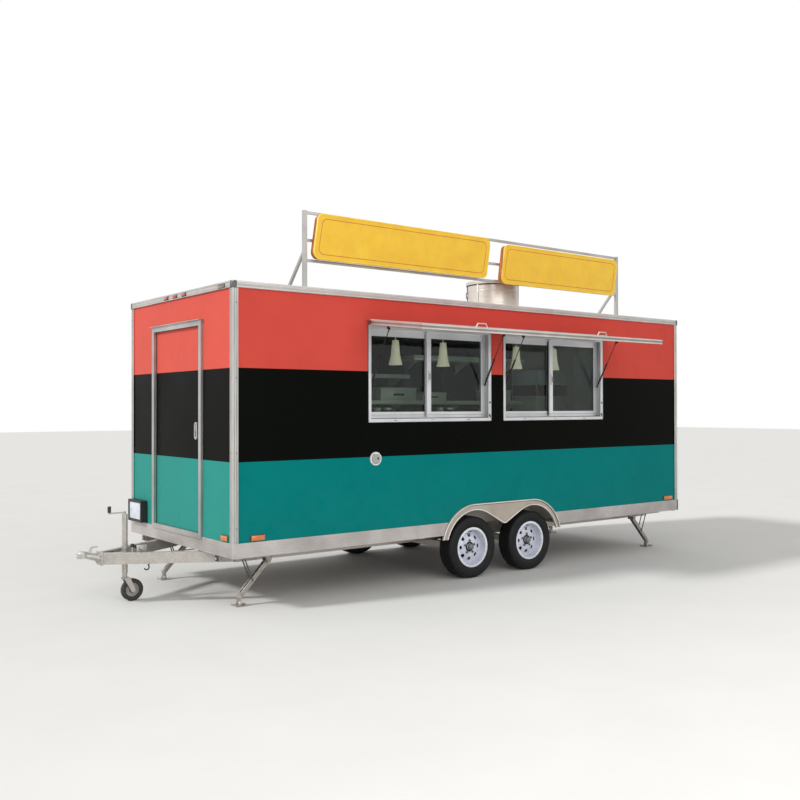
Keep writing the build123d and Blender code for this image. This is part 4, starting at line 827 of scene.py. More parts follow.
def addWindowTrim(bm, x0, x1, panes, brushAndShade):
    y, outer = servingY, servingY - windowSet["proud"]
    low, high, flange, pitch = (windowSet[key] for key in ("low", "high", "flange", "screwPitch"))
    sill, middle = low + flange, (x0 + x1) / 2
    # a grey line along each sash's bottom rail is painted shade of a groove
    for start, end, inside in panes:
        addBox(bm, (frontX + start + 0.006, y + inside - 0.0008, sill + 0.032),
               (frontX + end - 0.006, y + inside + 0.001, sill + 0.0365), 0.0003, 2)
    # a black strip along the sill is painted shadow in the gap under the sashes
    addBox(bm, (x0 + flange, y - 0.002, sill - 0.0005), (x1 - flange, y + 0.006, sill + 0.0055), 0.0005, 1)
    inset = flange / 2
    spots = [(x, z) for x in spread(x0 + 0.06, x1 - 0.06, pitch) for z in (low + inset, high - inset)]
    spots += [(x, z) for z in spread(low + 0.1, high - 0.1, pitch) for x in (x0 + inset, x1 - inset)]
    for x, z in spots:
        addScrew(bm, (x, outer, z), serving, 0.0042)
    # raised bead round the flange's outer edge, and black strips round the flange's edge, painted shadow
    # between the flange and the wall
    addStrips(bm, border(x0, x1, low, high, 0.006), outer - 0.003, outer + 0.001, 0.0012)
    left, right = x0 - 0.0035, x1 + 0.0045
    addStrips(bm, (((left, low - 0.005), (right, low)), ((left, high), (right, high + 0.003)),
                   ((left, low), (x0, high)), ((x1, low), (right, high))), y - 0.004, y + 0.001, 0.001, 1)
    # running tracks on the sill
    for inside in windowSet["tracks"]:
        addBox(bm, (x0 + flange, y + inside, sill - 0.001),
               (x1 - flange, y + inside + 0.0018, sill + 0.010), 0.0005)
    addBox(bm, (x0 + flange, y + 0.006, sill - 0.001), (x1 - flange, y + 0.045, sill + 0.004), 0.0015)
    # tracks up both jambs, with black strips in the channels between them: painted shade
    for x, out in ((x0 + flange, 1), (x1 - flange, -1)):
        for near, far, proud, material in windowSet["jambs"]:
            left, right = sorted((x - 0.001 * out, x + proud * out))
            addBox(bm, (left, y + near, sill), (right, y + far, high - flange), 0.0005, material)
    # brush strip beside the sliding sash: grey in the first window, and black in the second, where the black
    # is painted shade
    sash, inner = middle - windowSet["overlap"] / 2, y + windowSet["outerTrack"] + windowSet["sashDepth"]
    addBox(bm, (sash - 0.007, inner - 0.012, low + 0.050), (sash + 0.002, inner + 0.002, high - 0.050), 0.001,
           brushAndShade)
    # drain slots in the sill's nose, drawn as black strips, painted shade of their hollows, and the sliding
    # pane's pull on its leading stile
    for x in (x0 + 0.30, middle, x1 - 0.30):
        addBox(bm, (x - 0.018, outer - 0.0006, low + 0.0125), (x + 0.018, outer + 0.002, low + 0.0175),
               0.0004, 1)
    addBox(bm, (middle - 0.009, y + 0.040, 1.900), (middle + 0.009, y + 0.0525, 2.010), 0.003)
    addBox(bm, (middle - 0.005, y + 0.038, 1.925), (middle + 0.005, y + 0.0415, 1.985), 0.0015, 1)


def makeWindowTrim():
    bm = bmesh.new()
    for (start, end), brushAndShade in zip(windowSet["spans"], (2, 1)):
        addWindowTrim(bm, frontX + start, frontX + end, windowPanes((start, end)), brushAndShade)
    newPiece("window_trim", bm, ["windowAluminium", "blackRubber", "coverGrey"])


def makeWindowBumpers():
    bm = bmesh.new()
    flange = windowSet["flange"]
    for start, end in windowSet["spans"]:
        spot = (frontX + end - flange / 2, servingY - windowSet["proud"], windowSet["bumper"])
        addTurned(bm, ((0.011, 0), (0.011, 0.0015), (0.008, 0.003), (0, 0.0035)), spot, serving, 18)
        corner = facing((frontX + end - flange, servingY - 0.004, windowSet["low"] + flange), serving)
        turn = corner @ Matrix.Rotation(math.pi, 4, "Y") @ Matrix.Translation((0, 0, -0.004))
        addPlate(bm, ((-0.045, 0.002), (-0.030, -0.012), (0.004, 0.026), (-0.006, 0.040)), 0.004, turn, 0.001)
    newPiece("window_bumpers", bm, ["blackRubber"])


makeWindowRubber()
makeWindowTrim()
makeWindowBumpers()
print("window trim made")

# Body trims: beads and screws on the corner posts, insert and beads on the roof rail, round corner caps
trimSet = {"post": 0.044, "proud": 0.005, "bead": 0.0035, "screwPitch": 0.62, "rail": 0.013, "railLow": 2.634,
           "railHigh": 2.690, "cap": 0.030, "capIn": 0.024}


def makePostTrim():
    bm = bmesh.new()
    low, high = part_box("corner_posts")
    for x, y, sx, sy in corners:
        outX, outY = x + sx * trimSet["proud"], y + sy * trimSet["proud"]
        rods = [(outX - sx * 0.002, outY - sy * 0.002, 0.005, 16)]
        for inset in (trimSet["post"] - 0.004, 0.017):
            rods += [(x - sx * inset, outY, trimSet["bead"], 12), (outX, y - sy * inset, trimSet["bead"], 12)]
        for rodX, rodY, radius, sides in rods:
            addRod(bm, (rodX, rodY, low.z), (rodX, rodY, high.z), radius, sides)
        for z in spread(low.z + 0.12, high.z - 0.12, trimSet["screwPitch"]):
            addScrew(bm, (x - sx * 0.028, outY, z), (0, sy, 0), 0.0052, 1)
            addScrew(bm, (outX, y - sy * 0.028, z), (sx, 0, 0), 0.0052, 1)
    newPiece("post_trim", bm, ["aluminiumLong", "darkScrew"])


def makeRailTrim():
    bm = bmesh.new()
    rail, low, high = trimSet["rail"], trimSet["railLow"], trimSet["railHigh"]
    endsY, endsX = (servingY - rail + 0.02, farY + rail - 0.02), (frontX - rail + 0.02, rearX + rail - 0.02)
    for across, face, sign, ends in ((0, frontX, -1, endsY), (0, rearX, 1, endsY),
                                     (1, servingY, -1, endsX), (1, farY, 1, endsX)):
        edge = face + sign * rail

        def spot(out, along, z):
            return (out, along, z) if across == 0 else (along, out, z)

        for z, radius in ((low + 0.005, 0.0048), (high - 0.012, 0.0036)):
            addRod(bm, spot(edge, ends[0], z), spot(edge, ends[1], z), radius, 12)
        near, out = sorted((edge - sign * 0.001, edge + sign * 0.0018))
        addBox(bm, spot(near, ends[0], low + 0.015), spot(out, ends[1], high - 0.022), 0.0006, 1)
    inside, radius = rail - trimSet["capIn"], trimSet["cap"]
    profile = ((0, 0), (radius - 0.003, 0), (radius, 0.003), (radius, 0.050), (radius - 0.005, 0.0585),
               (0, 0.0605))
    for x, y, sx, sy in corners:
        addTurned(bm, profile, (x + sx * inside, y + sy * inside, low - 0.002), upward, 24, 2)
    newPiece("rail_trim", bm, ["aluminiumLong", "railInsert", "greyPlastic"])


makePostTrim()
makeRailTrim()
print("body trims made")

# Door: keyhole, paddle, rivets in the frame and a rubber seal behind the frame's lip
doorSet = {"near": 0.549, "far": 1.588, "low": 0.548, "high": 2.412, "rivetPitch": 0.31,
           "lip": 0.045, "wide": 0.008, "seal": (0.0036, 0.0084)}


def makeDoorLock():
    bm = bmesh.new()
    low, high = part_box("door_latch")
    y, z, leaf = (low.y + high.y) / 2, (low.z + high.z) / 2, high.x
    addBox(bm, (leaf - 0.006, y - 0.011, z - 0.052), (leaf, y + 0.011, z + 0.052), 0.0025, 1)
    addBox(bm, (leaf - 0.018, y - 0.0085, z - 0.006), (leaf - 0.004, y + 0.0085, z + 0.048), 0.003)
    barrel = ((0.0095, 0), (0.0095, 0.006), (0.0075, 0.008), (0.0, 0.008))
    addTurned(bm, barrel, (leaf - 0.004, y, z - 0.030), front, 24)
    addBox(bm, (leaf - 0.0126, y - 0.0012, z - 0.0350), (leaf - 0.0118, y + 0.0012, z - 0.0250), 0.0002, 1)
    for side in (-0.066, 0.066):
        addScrew(bm, (low.x, y, z + side), front, 0.004)
    newPiece("door_lock", bm, ["aluminiumTrim", "blackPlastic"], "door")


def doorOpening(inset):
    return (servingY + doorSet["near"] + inset, servingY + doorSet["far"] - inset,
            doorSet["low"] + inset, doorSet["high"] - inset)


def makeDoorRivets():
    bm = bmesh.new()
    x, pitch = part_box("door_frame")[0].x + 0.020, doorSet["rivetPitch"]
    y0, y1, z0, z1 = doorOpening(0)
    spots = [(y, z) for z in spread(z0 + 0.08, z1 - 0.08, pitch) for y in (y0 + 0.022, y1 - 0.022)]
    spots += [(y, z) for y in spread(y0 + 0.1, y1 - 0.1, pitch) for z in (z0 + 0.022, z1 - 0.022)]
    for y, z in spots:
        addScrew(bm, (x, y, z), front, 0.0045)
    newPiece("door_frame_rivets", bm, ["aluminiumTrim"])


def makeDoorSeal():
    bm = bmesh.new()
    wide, (start, end) = doorSet["wide"], (frontX + inside for inside in doorSet["seal"])
    y0, y1, z0, z1 = doorOpening(doorSet["lip"])
    top, bottom = z1 + wide, z0 - wide
    for low, high in (((y0 - wide, bottom), (y0 + 0.002, top)), ((y1 - 0.002, bottom), (y1 + wide, top)),
                      ((y0, bottom), (y1, z0 + 0.002)), ((y0, z1 - 0.002), (y1, top))):
        addBox(bm, (start, *low), (end, *high), 0.0015)
    newPiece("door_seal", bm, ["blackRubber"])


makeDoorLock()
makeDoorRivets()
print("door fittings made")

# Drawbar fittings: coupling bolts, damper tube, brake rod, plug holder, hook, jockey clamp and crank grip
barSet = {"plateX": -0.700, "boltY": 0.048, "boltZ": (0.362, 0.422), "beamTop": 0.440,
          "hook": (-0.330, 0.905, 0.352), "bend": 0.022, "mastX": -0.485, "clampZ": 0.470}


def makeDrawbarFittings():
    bm = bmesh.new()
    plate, y = frontX + barSet["plateX"], middleY
    for side in (-barSet["boltY"], barSet["boltY"]):
        for z in barSet["boltZ"]:
            addBolt(bm, (plate - 0.010, y + side, z), front, 0.0105, 0.012)
    # damper tube and brake rod
    addRod(bm, (plate + 0.005, y, 0.418), (plate + 0.120, y, 0.418), 0.024, 28, 0.003, 1)
    addRod(bm, (plate + 0.110, y, 0.418), (plate + 0.135, y, 0.418), 0.017, 24, 0.003)
    addRod(bm, (plate + 0.130, y + 0.050, 0.380), (frontX + 2.2, y + 0.050, 0.380), 0.005, 12)
    addBox(bm, (plate + 0.095, y - 0.012, 0.375), (plate + 0.140, y + 0.058, 0.387), 0.003)
    newPiece("drawbar_fittings", bm, ["galvanised", "blackSteel"])


def makePlugHolder():
    # a socket that keeps the parked plug dry, and the knob of the brake's reversing catch
    bm = bmesh.new()
    x, y, z = frontX - 0.395, middleY - 0.150, barSet["beamTop"]
    addBox(bm, (x - 0.045, y - 0.004, z - 0.004), (x + 0.045, y + 0.004, z + 0.055), 0.002, 1)
    socket = ((0.0, 0.0), (0.019, 0.0), (0.019, 0.010), (0.016, 0.013), (0.016, 0.038), (0.018, 0.041),
              (0.018, 0.047), (0.014, 0.050), (0.0, 0.051))
    addTurned(bm, socket, (x - 0.004, y - 0.004, z + 0.030), serving)
    addBox(bm, (x - 0.012, y - 0.052, z + 0.044), (x + 0.004, y - 0.010, z + 0.051), 0.002)
    x, y = x - 0.080, middleY - 0.145
    addRod(bm, (x, y, z - 0.004), (x, y, z + 0.045), 0.006, 16, 0.001, 1)
    catch = ((0.0, 0.0), (0.012, 0.002), (0.018, 0.010), (0.018, 0.022), (0.012, 0.030), (0.0, 0.032))
    addTurned(bm, catch, (x, y, z + 0.040), upward, 28, 2)
    newPiece("plug_holder", bm, ["coverGrey", "galvanised", "blackPlastic"])


def makeHook():
    # a bent hook on an eye under the near beam
    bm = bmesh.new()
    x, y, z = Vector((frontX, servingY, 0)) + Vector(barSet["hook"])
    addBox(bm, (x - 0.016, y - 0.010, z - 0.004), (x + 0.016, y + 0.010, z + 0.006), 0.002)
    middle = Vector((x - barSet["bend"], y, z - 0.052))
    bend = [middle + onCircle(barSet["bend"], turn) for turn in range(60, -170, -20)]
    addBent(bm, [(x, y, z + 0.004), (x, y, z - 0.030)] + bend, 0.0055, 12)
    addBolt(bm, (x + 0.010, y - 0.010, z + 0.001), serving, 0.004, 0.005)
    newPiece("beam_hook", bm, ["blackSteel"])


def makeJockeyGrips():
    bm = bmesh.new()
    low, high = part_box("jockey_mast")
    grip = [(0.0, 0.0), (0.0125, 0.0), (0.0140, 0.0015)]
    for z in (0.006, 0.018, 0.030, 0.042):
        grip += [(0.0152, z), (0.0152, z + 0.005), (0.0140, z + 0.008)]
    grip += [(0.0135, 0.0525), (0.010, 0.0545), (0.0, 0.055)]
    addTurned(bm, grip, (low.x + 0.013, middleY, high.z - 0.0540), upward, 28)
    # clamp screw with its knob, and the clamp's ring round the mast over the beams
    mast, y, z = frontX + barSet["mastX"], middleY, barSet["clampZ"]
    addRod(bm, (mast + 0.020, y - 0.012, z), (mast + 0.075, y - 0.045, z), 0.006, 14, 0.001, 1)
    clamp = ((0.0, 0.0), (0.010, 0.001), (0.016, 0.006), (0.016, 0.020), (0.010, 0.026), (0.0, 0.027))
    addTurned(bm, clamp, (mast + 0.066, y - 0.040, z), (0.86, -0.51, 0), 24)
    ring = ((0.0245, 0.0), (0.029, 0.002), (0.029, 0.032), (0.0245, 0.034))
    addTurned(bm, ring, (mast, y, z - 0.018), upward, 40, 1, True)
    newPiece("jockey_grips", bm, ["blackPlastic", "galvanised"])


makeDrawbarFittings()
makePlugHolder()
makeHook()
makeJockeyGrips()
print("drawbar fittings made")

# Corner legs: a winding screw in each base channel, with a hexagon end and an end plate
legSet = {"fromSide": 0.290, "reach": 0.530, "screw": 0.008, "down": 0.024}


def makeLegScrews():
    bm = bmesh.new()
    low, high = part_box("leg_bases")
    z = high.z - legSet["down"]
    for x, y, sx, sy in corners:
        side, end, tail = y - sy * legSet["fromSide"], low.x if sx < 0 else high.x, x - sx * legSet["reach"]
        addRod(bm, (end - sx * 0.010, side, z), (tail, side, z), legSet["screw"], 14, 0.001)
        addRod(bm, (end + sx * 0.018, side, z), (end - sx * 0.006, side, z), 0.0125, 6, 0.0015)
        addBox(bm, (end - sx * 0.006, side - 0.034, z - 0.022), (end, side + 0.034, z + 0.022), 0.001, 1)
    newPiece("leg_screws", bm, ["zincBright", "blackSteel"])


makeLegScrews()
print("leg screws made")

# Lamps: dark housings with moulded lenses, oval marker lamps on the front rail and tail lamps in three parts.
# A tail lamp's parts are (start, end, material), as shares of its height.
lampSet = {"low": 0.578, "high": 0.628, "proud": 0.016, "sides": ((0.152, 0.284), (5.563, 5.720)),
           "front": (0.080, 0.200), "rail": 0.013, "ovalFrom": 0.026, "ovalPitch": 0.187,
           "oval": (0.096, 0.034), "marker": (0.113, 0.238, 2.638, 2.673),
           "tail": (0.090, 0.180, 0.600, 0.120),
           "parts": ((0.02, 0.30, 3), (0.32, 0.66, 2), (0.68, 0.98, 0))}


def addLamp(bm, spot, axis, width, height, depth, materials=(0, 1)):
    turn, x, y = facing(spot, axis), width / 2, height / 2
    addBox(bm, (-x, -y, 0), (x, y, depth * 0.5), 0.002, materials[1], turn)
    addBox(bm, (-x + 0.006, -y + 0.002, depth * 0.4), (x - 0.002, y - 0.006, depth), 0.0035,
           materials[0], turn)


def slotOutline(length, width, steps=12):
    half, straight = width / 2, (length - width) / 2
    turns = [math.pi * (count / steps - 0.5) for count in range(steps + 1)]
    right = [(straight + half * math.cos(turn), half * math.sin(turn)) for turn in turns]
    return right + [(-x, -y) for x, y in right]


def makeAmberLights():
    bm = bmesh.new()
    height, middle = lampSet["high"] - lampSet["low"], (lampSet["high"] + lampSet["low"]) / 2
    for start, end in lampSet["sides"]:
        for y, out in longSides:
            spot = (frontX + (start + end) / 2, y, middle)
            addLamp(bm, spot, (0, out, 0), end - start, height, lampSet["proud"])
    start, end = lampSet["front"]
    addLamp(bm, (frontX, servingY + (start + end) / 2, middle), front, end - start, height, lampSet["proud"])
    newPiece("amber_lights", bm, ["amberLens", "lampHousing"], replaces="amber_lamps")


def makeRedLights():
    bm = bmesh.new()
    rail = frontX - lampSet["rail"]
    length, width = lampSet["oval"]
    for count in (-1, 0, 1):
        y = middleY + lampSet["ovalFrom"] + count * lampSet["ovalPitch"]
        turn = facing((rail, y, wallTop + 0.020), front)
        addPlate(bm, slotOutline(length, width), 0.007, turn, 0.0015, 1)
        addPlate(bm, slotOutline(length - 0.009, width - 0.007), 0.0118, turn, 0.003)
    y0, y1, z0, z1 = lampSet["marker"]
    addLamp(bm, (rail, servingY + (y0 + y1) / 2, (z0 + z1) / 2), front, y1 - y0, z1 - z0, 0.011, (4, 1))
    inset, width, low, height = lampSet["tail"]
    half = width / 2
    for y in (servingY + inset + half, farY - inset - half):
        turn = facing((rearX, y, low + height / 2), rear)
        addBox(bm, (-half, -height / 2, 0), (half, height / 2, 0.012), 0.003, 1, turn)
        for start, end, material in lampSet["parts"]:
            addBox(bm, (-half + 0.004, height * (start - 0.5), 0.010),
                   (half - 0.004, height * (end - 0.5), 0.028), 0.004, material, turn)
        for x in (-half + 0.012, half - 0.012):
            addScrew(bm, turn @ Vector((x, 0.0, 0.0258)), rear, 0.0032, 1)
    materials = ["redLens", "lampHousing", "amberLens", "whitePlastic", "markerLens"]
    newPiece("red_lights", bm, materials, replaces="red_lamps")


# Blank plates at the front and the rear, and the power inlet with its cover
plateSet = {"fromFar": (0.080, 0.355), "z": (0.595, 0.760), "x": -0.058, "margin": 0.010,
            "rear": (0.260, 0.055), "rearZ": 0.690, "lights": (-0.09, 0.09)}


def addBlankPlate(bm, turn, width, height):
    # a thin plate with an embossed border and two screws
    addBox(bm, (-width / 2, -height / 2, 0), (width / 2, height / 2, 0.0016), 0.0006, 0, turn)
    x, y = width / 2 - 0.006, height / 2 - 0.006
    for x0, y0, x1, y1 in ((-x, -y, x, -y), (-x, y, x, y), (-x, -y, -x, y), (x, -y, x, y)):
        addBox(bm, (x0 - 0.001, y0 - 0.001, 0.0012), (x1 + 0.001, y1 + 0.001, 0.0028), 0.0005, 0, turn)
    for x in (-width * 0.32, width * 0.32):
        addScrew(bm, turn @ Vector((x, 0, 0.0016)), turn.col[2].xyz, 0.0045, 1)


def makePlates():
    bm = bmesh.new()
    (y0, y1), (z0, z1), margin = plateSet["fromFar"], plateSet["z"], plateSet["margin"]
    spot = (frontX + plateSet["x"], farY - (y0 + y1) / 2, (z0 + z1) / 2)
    addBlankPlate(bm, facing(spot, front), y1 - y0 - margin, z1 - z0 - margin)
    half, tall = plateSet["rear"]
    turn = facing((rearX, middleY, plateSet["rearZ"]), rear)
    addBox(bm, (-half - margin, -tall - margin, 0), (half + margin, tall + margin, 0.006), 0.002, 2, turn)
    addBlankPlate(bm, turn @ Matrix.Translation((0, 0, 0.006)), 2 * half, 2 * tall)
    for x in plateSet["lights"]:
        addBox(bm, (x - 0.03, tall + 0.012, 0), (x + 0.03, tall + 0.036, 0.024), 0.004, 2, turn)
        addBox(bm, (x - 0.022, tall + 0.009, 0.006), (x + 0.022, tall + 0.013, 0.020), 0.001, 3, turn)
    newPiece("blank_plates", bm, ["blankPlate", "darkScrew", "blackPlastic", "whitePlastic"])


inletSet = {"place": (1.411, 1.205), "ring": ((0.0, 0.0), (0.0615, 0.0), (0.0620, 0.003), (0.0600, 0.0130),
                                              (0.0560, 0.0150), (0.0500, 0.0145), (0.0480, 0.0120)),
            "cover": ((0.0485, 0.0118), (0.0465, 0.0130), (0.0455, 0.0190), (0.0420, 0.0215), (0.0, 0.0220)),
            "button": ((0.0, 0.0), (0.011, 0.0), (0.010, 0.0012), (0.0, 0.0012)),
            "screws": (45, 135, 225, 315)}


def makeInletCover():
    bm = bmesh.new()
    x, z = inletSet["place"]
    spot = Vector((frontX + x, servingY, z))
    addTurned(bm, inletSet["ring"], spot, serving, 48)
    addTurned(bm, inletSet["cover"], spot, serving, 48, 1)
    addTurned(bm, inletSet["button"], spot + Vector((0.017, -0.0212, 0.002)), serving, 24, 2)
    addBox(bm, spot + Vector((-0.016, -0.0200, 0.040)), spot + Vector((0.016, -0.0130, 0.056)), 0.002)
    for angle in inletSet["screws"]:
        addScrew(bm, spot + onCircle(0.0545, angle) - Vector((0, 0.0148, 0)), serving, 0.0035, 3)
    newPiece("inlet_cover", bm, ["whitePlastic", "coverGrey", "blackRubber", "darkScrew"],
             replaces="inlet")


makeAmberLights()
makeRedLights()
makePlates()
makeInletCover()
print("lamps, plates and inlet made")

# Roof vent: a black band under its cap, painted shadow of the cap's overhang, ridges, seams with toggles on
# one, and screws round its drum
ventSet = {"radius": 0.288, "cap": 0.038, "seams": (312, 72, 192), "latchSeam": 150, "screws": 16,
           "band": ((-0.002, 0.0), (0.0035, 0.001), (0.0035, 0.011), (-0.002, 0.012)),
           "ridge": ((-0.001, 0.0), (0.0025, 0.004), (0.0025, 0.008), (-0.001, 0.012)),
           "rim": ((-0.030, 0.0), (-0.034, 0.0012), (-0.040, 0.0))}


def makeVentTrim():
    bm = bmesh.new()
    low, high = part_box("roof_vent")
    radius, under = ventSet["radius"], high.z - ventSet["cap"]
    axle = Matrix.Translation(((low.x + high.x) / 2, (low.y + high.y) / 2, 0))
    band, ridge, rim = ([(radius + out, along) for out, along in ventSet[key]]
                        for key in ("band", "ridge", "rim"))
    for profile, z, material, closed in ((band, under - 0.013, 1, True), (ridge, low.z + 0.075, 0, True),
                                         (ridge, under - 0.080, 0, True), (rim, high.z - 0.0012, 0, False)):
        addTurned(bm, profile, axle @ Vector((0, 0, z)), upward, 64, material, closed)
    bottom, top = low.z + 0.012, under - 0.004
    for angle in ventSet["seams"]:
        turn = axle @ Matrix.Rotation(math.radians(angle), 4, "Z")
        addBox(bm, (radius - 0.003, -0.010, bottom), (radius + 0.0035, 0.010, top), 0.0012, 0, turn)
        addBox(bm, (radius - 0.003, 0.010, bottom), (radius + 0.0012, 0.013, top), 0.0004, 1, turn)
        for z in spread(low.z + 0.04, under - 0.04, 0.05):
            addScrew(bm, turn @ Vector((radius + 0.0030, 0, z)), turn.col[0].xyz, 0.0034)
    turn = axle @ Matrix.Rotation(math.radians(ventSet["latchSeam"]), 4, "Z")
    addBox(bm, (radius - 0.003, -0.012, bottom), (radius + 0.004, 0.012, top), 0.0015, 1, turn)
    for z in (low.z + 0.110, under - 0.110):
        addBox(bm, (radius, -0.022, z - 0.020), (radius + 0.012, 0.022, z + 0.020), 0.003, 0, turn)
        addBox(bm, (radius + 0.010, -0.007, z - 0.034), (radius + 0.017, 0.007, z + 0.034), 0.002, 2, turn)
    for count in range(ventSet["screws"]):
        turn = axle @ Matrix.Rotation(2 * math.pi * count / ventSet["screws"], 4, "Z")
        addScrew(bm, turn @ Vector((radius + 0.010, 0, bottom)), upward, 0.0045, 2)
    newPiece("vent_trim", bm, ["ventSteel", "blackSteel", "darkScrew"])


# Sign: a raised rim, an inner line and standoffs for each blank board, and bolts and feet for the frame
signSet = {"boards": ((0.905, 3.040, 2.985, 3.385), (3.190, 5.035, 2.950, 3.350)), "slant": 0.060,
           "corner": 0.060, "rim": 0.008, "inner": (0.955, 0.80), "posts": (0.858, 5.100), "depth": 0.300,
           "rail": 3.150, "braceFoot": 0.336}


def roundedOutline(points, radius, steps=8):
    # the corners of a closed outline, each turned into an arc
    rounded = []
    for count, point in enumerate(points):
        corner = Vector(point)
        before = (Vector(points[count - 1]) - corner).normalized()
        after = (Vector(points[(count + 1) % len(points)]) - corner).normalized()
        half = before.angle(after) / 2
        centre = corner + (before + after).normalized() * radius / math.sin(half)
        first, last = (corner + side * radius / math.tan(half) - centre for side in (before, after))
        for step in range(steps + 1):
            rounded.append(centre + first.lerp(last, step / steps).normalized() * radius)
    return rounded


def makeSignTrim():
    bm = bmesh.new()
    low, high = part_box("sign_boards")
    slant, rail = signSet["slant"], signSet["rail"]
    for x0, x1, z0, z1 in signSet["boards"]:
        x0, x1 = frontX + x0, frontX + x1
        outline = roundedOutline(((x0, z0), (x1 - slant, z0), (x1, z1), (x0 + slant, z1)), signSet["corner"])
        middle = Vector(((x0 + x1) / 2, (z0 + z1) / 2))
        inner = [middle + (point - middle) * Vector(signSet["inner"]) for point in outline]
        for points, y, radius, sides, material in ((outline, 0.004, signSet["rim"], 10, 0),
                                                   (inner, 0.0015, 0.0035, 8, 1)):
            line = [(x, low.y + y, z) for x, z in points]
            addBent(bm, line + line[:1], radius, sides, material)
        for x in spread(x0 + 0.25, x1 - 0.25, 0.55):
            addRod(bm, (x, high.y - 0.002, rail), (x, high.y + 0.031, rail), 0.008, 6, 0.001, 2)
    newPiece("sign_rims", bm, ["signRim", "signSide", "aluminiumTrim"])


def makeSignFrameTrim():
    bm = bmesh.new()
    top, y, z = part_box("sign_frame")[1].z, servingY + signSet["depth"], roofTop
    foot = y + signSet["braceFoot"]
    for place in signSet["posts"]:
        x = frontX + place
        for side in (-1, 1):
            for out in (-1, 1):
                addBolt(bm, (x + side * 0.032, y + out * 0.032, z + 0.006), upward, 0.006, 0.009)
            near, out = x + side * 0.017, x + side * 0.030
            addBox(bm, (near, y - 0.010, z + 0.004), (out, y + 0.010, z + 0.020), 0.002)
            addBolt(bm, (x + side * 0.021, foot + 0.026, z + 0.005), upward, 0.005, 0.008)
        addBox(bm, (x - 0.015, y - 0.015, top - 0.0025), (x + 0.015, y + 0.015, top - 0.0002), 0.001, 1)
        addBox(bm, (x - 0.030, foot - 0.030, z), (x + 0.030, foot + 0.040, z + 0.005), 0.0015)
    newPiece("sign_frame_bolts", bm, ["aluminiumTrim", "blackPlastic"])


makeVentTrim()
makeSignTrim()
makeSignFrameTrim()
print("vent and sign trim made")

# Fenders: a black line inside the outer lip, painted shade in the groove between the lip and the plate, and
# rivets along it
fenderSet = {"outer": 0.425, "lip": 0.012, "proud": 0.0145, "joint": 0.0035, "end": 0.405, "pitch": 0.787,
             "wheelZ": 0.3, "front": 2.6, "step": 3.0}


def makeFenderTrim():
    bm = bmesh.new()
    inner = fenderSet["outer"] - fenderSet["lip"]
    rivet, joint = inner - 0.009, inner - 0.0015
    foot = math.degrees(math.asin((fenderSet["end"] - fenderSet["wheelZ"]) / joint)) + 0.3
    wheelX, step = frontX + fenderSet["front"], fenderSet["step"]
    path = [(wheelX, turn) for turn in spread(180 - foot, 90, step)]
    path += [(wheelX + fenderSet["pitch"], turn) for turn in spread(90, foot, step)]
    for face, out in longSides:
        y = face + out * fenderSet["proud"]
        line = [Vector((x, y, fenderSet["wheelZ"])) + onCircle(joint, turn) for x, turn in path]
        addBent(bm, line, fenderSet["joint"], 8)
        for x, turn in path[2:-2:3]:
            spot = Vector((x, y - out * 0.0005, fenderSet["wheelZ"])) + onCircle(rivet, turn)
            addScrew(bm, spot, (0, out, 0), 0.0036, 1)
    newPiece("fender_trim", bm, ["blackRubber", "aluminiumTrim"])


# Skirt: dark end caps at the rear corners and screws along the ribs
skirtSet = {"low": 0.448, "high": 0.568, "proud": 0.0122, "cap": 0.009, "screwPitch": 0.52, "screwZ": 0.513,
            "screwOut": 0.0078, "runs": ((0.10, 2.05), (3.95, 5.70))}


def makeSkirtTrim():
    bm = bmesh.new()
    out, z, pitch = skirtSet["proud"], skirtSet["screwZ"], skirtSet["screwPitch"]
    for y, sy in longSides:
        addBox(bm, (rearX - skirtSet["cap"], y - sy * 0.004, skirtSet["low"] - 0.001),
               (rearX + out, y + sy * out, skirtSet["high"] + 0.001), 0.004, 1)
        for start, end in skirtSet["runs"]:
            for x in spread(frontX + start, frontX + end, pitch):
                addScrew(bm, (x, y + sy * skirtSet["screwOut"], z), (0, sy, 0), 0.0042)
    for x, sx in ((frontX, -1), (rearX, 1)):
        for y in spread(servingY + 0.12, farY - 0.12, pitch):
            addScrew(bm, (x + sx * skirtSet["screwOut"], y, z), (sx, 0, 0), 0.0042)
    newPiece("skirt_trim", bm, ["darkScrew", "greyPlastic"])


makeFenderTrim()
makeSkirtTrim()

# Corner legs' feet: a bolt through each knuckle, upturned plate ends and a gusset.
# A leg's upper face is pressed: a black strip, painted shade of its groove, between two bright edges, with
# slots across.
footSet = {"half": 0.048, "knuckle": 0.074, "width": 0.042, "plate": 0.051, "lift": 52, "pivot": 0.356,
           "length": 0.388, "depth": 0.018, "face": (0.030, 0.352), "shadedGroove": 0.0115,
           "edge": (0.0178, 0.0032), "slots": 0.075,
           "gusset": ((-0.020, 0.0), (0.020, 0.0), (0.012, 0.034), (-0.012, 0.034))}


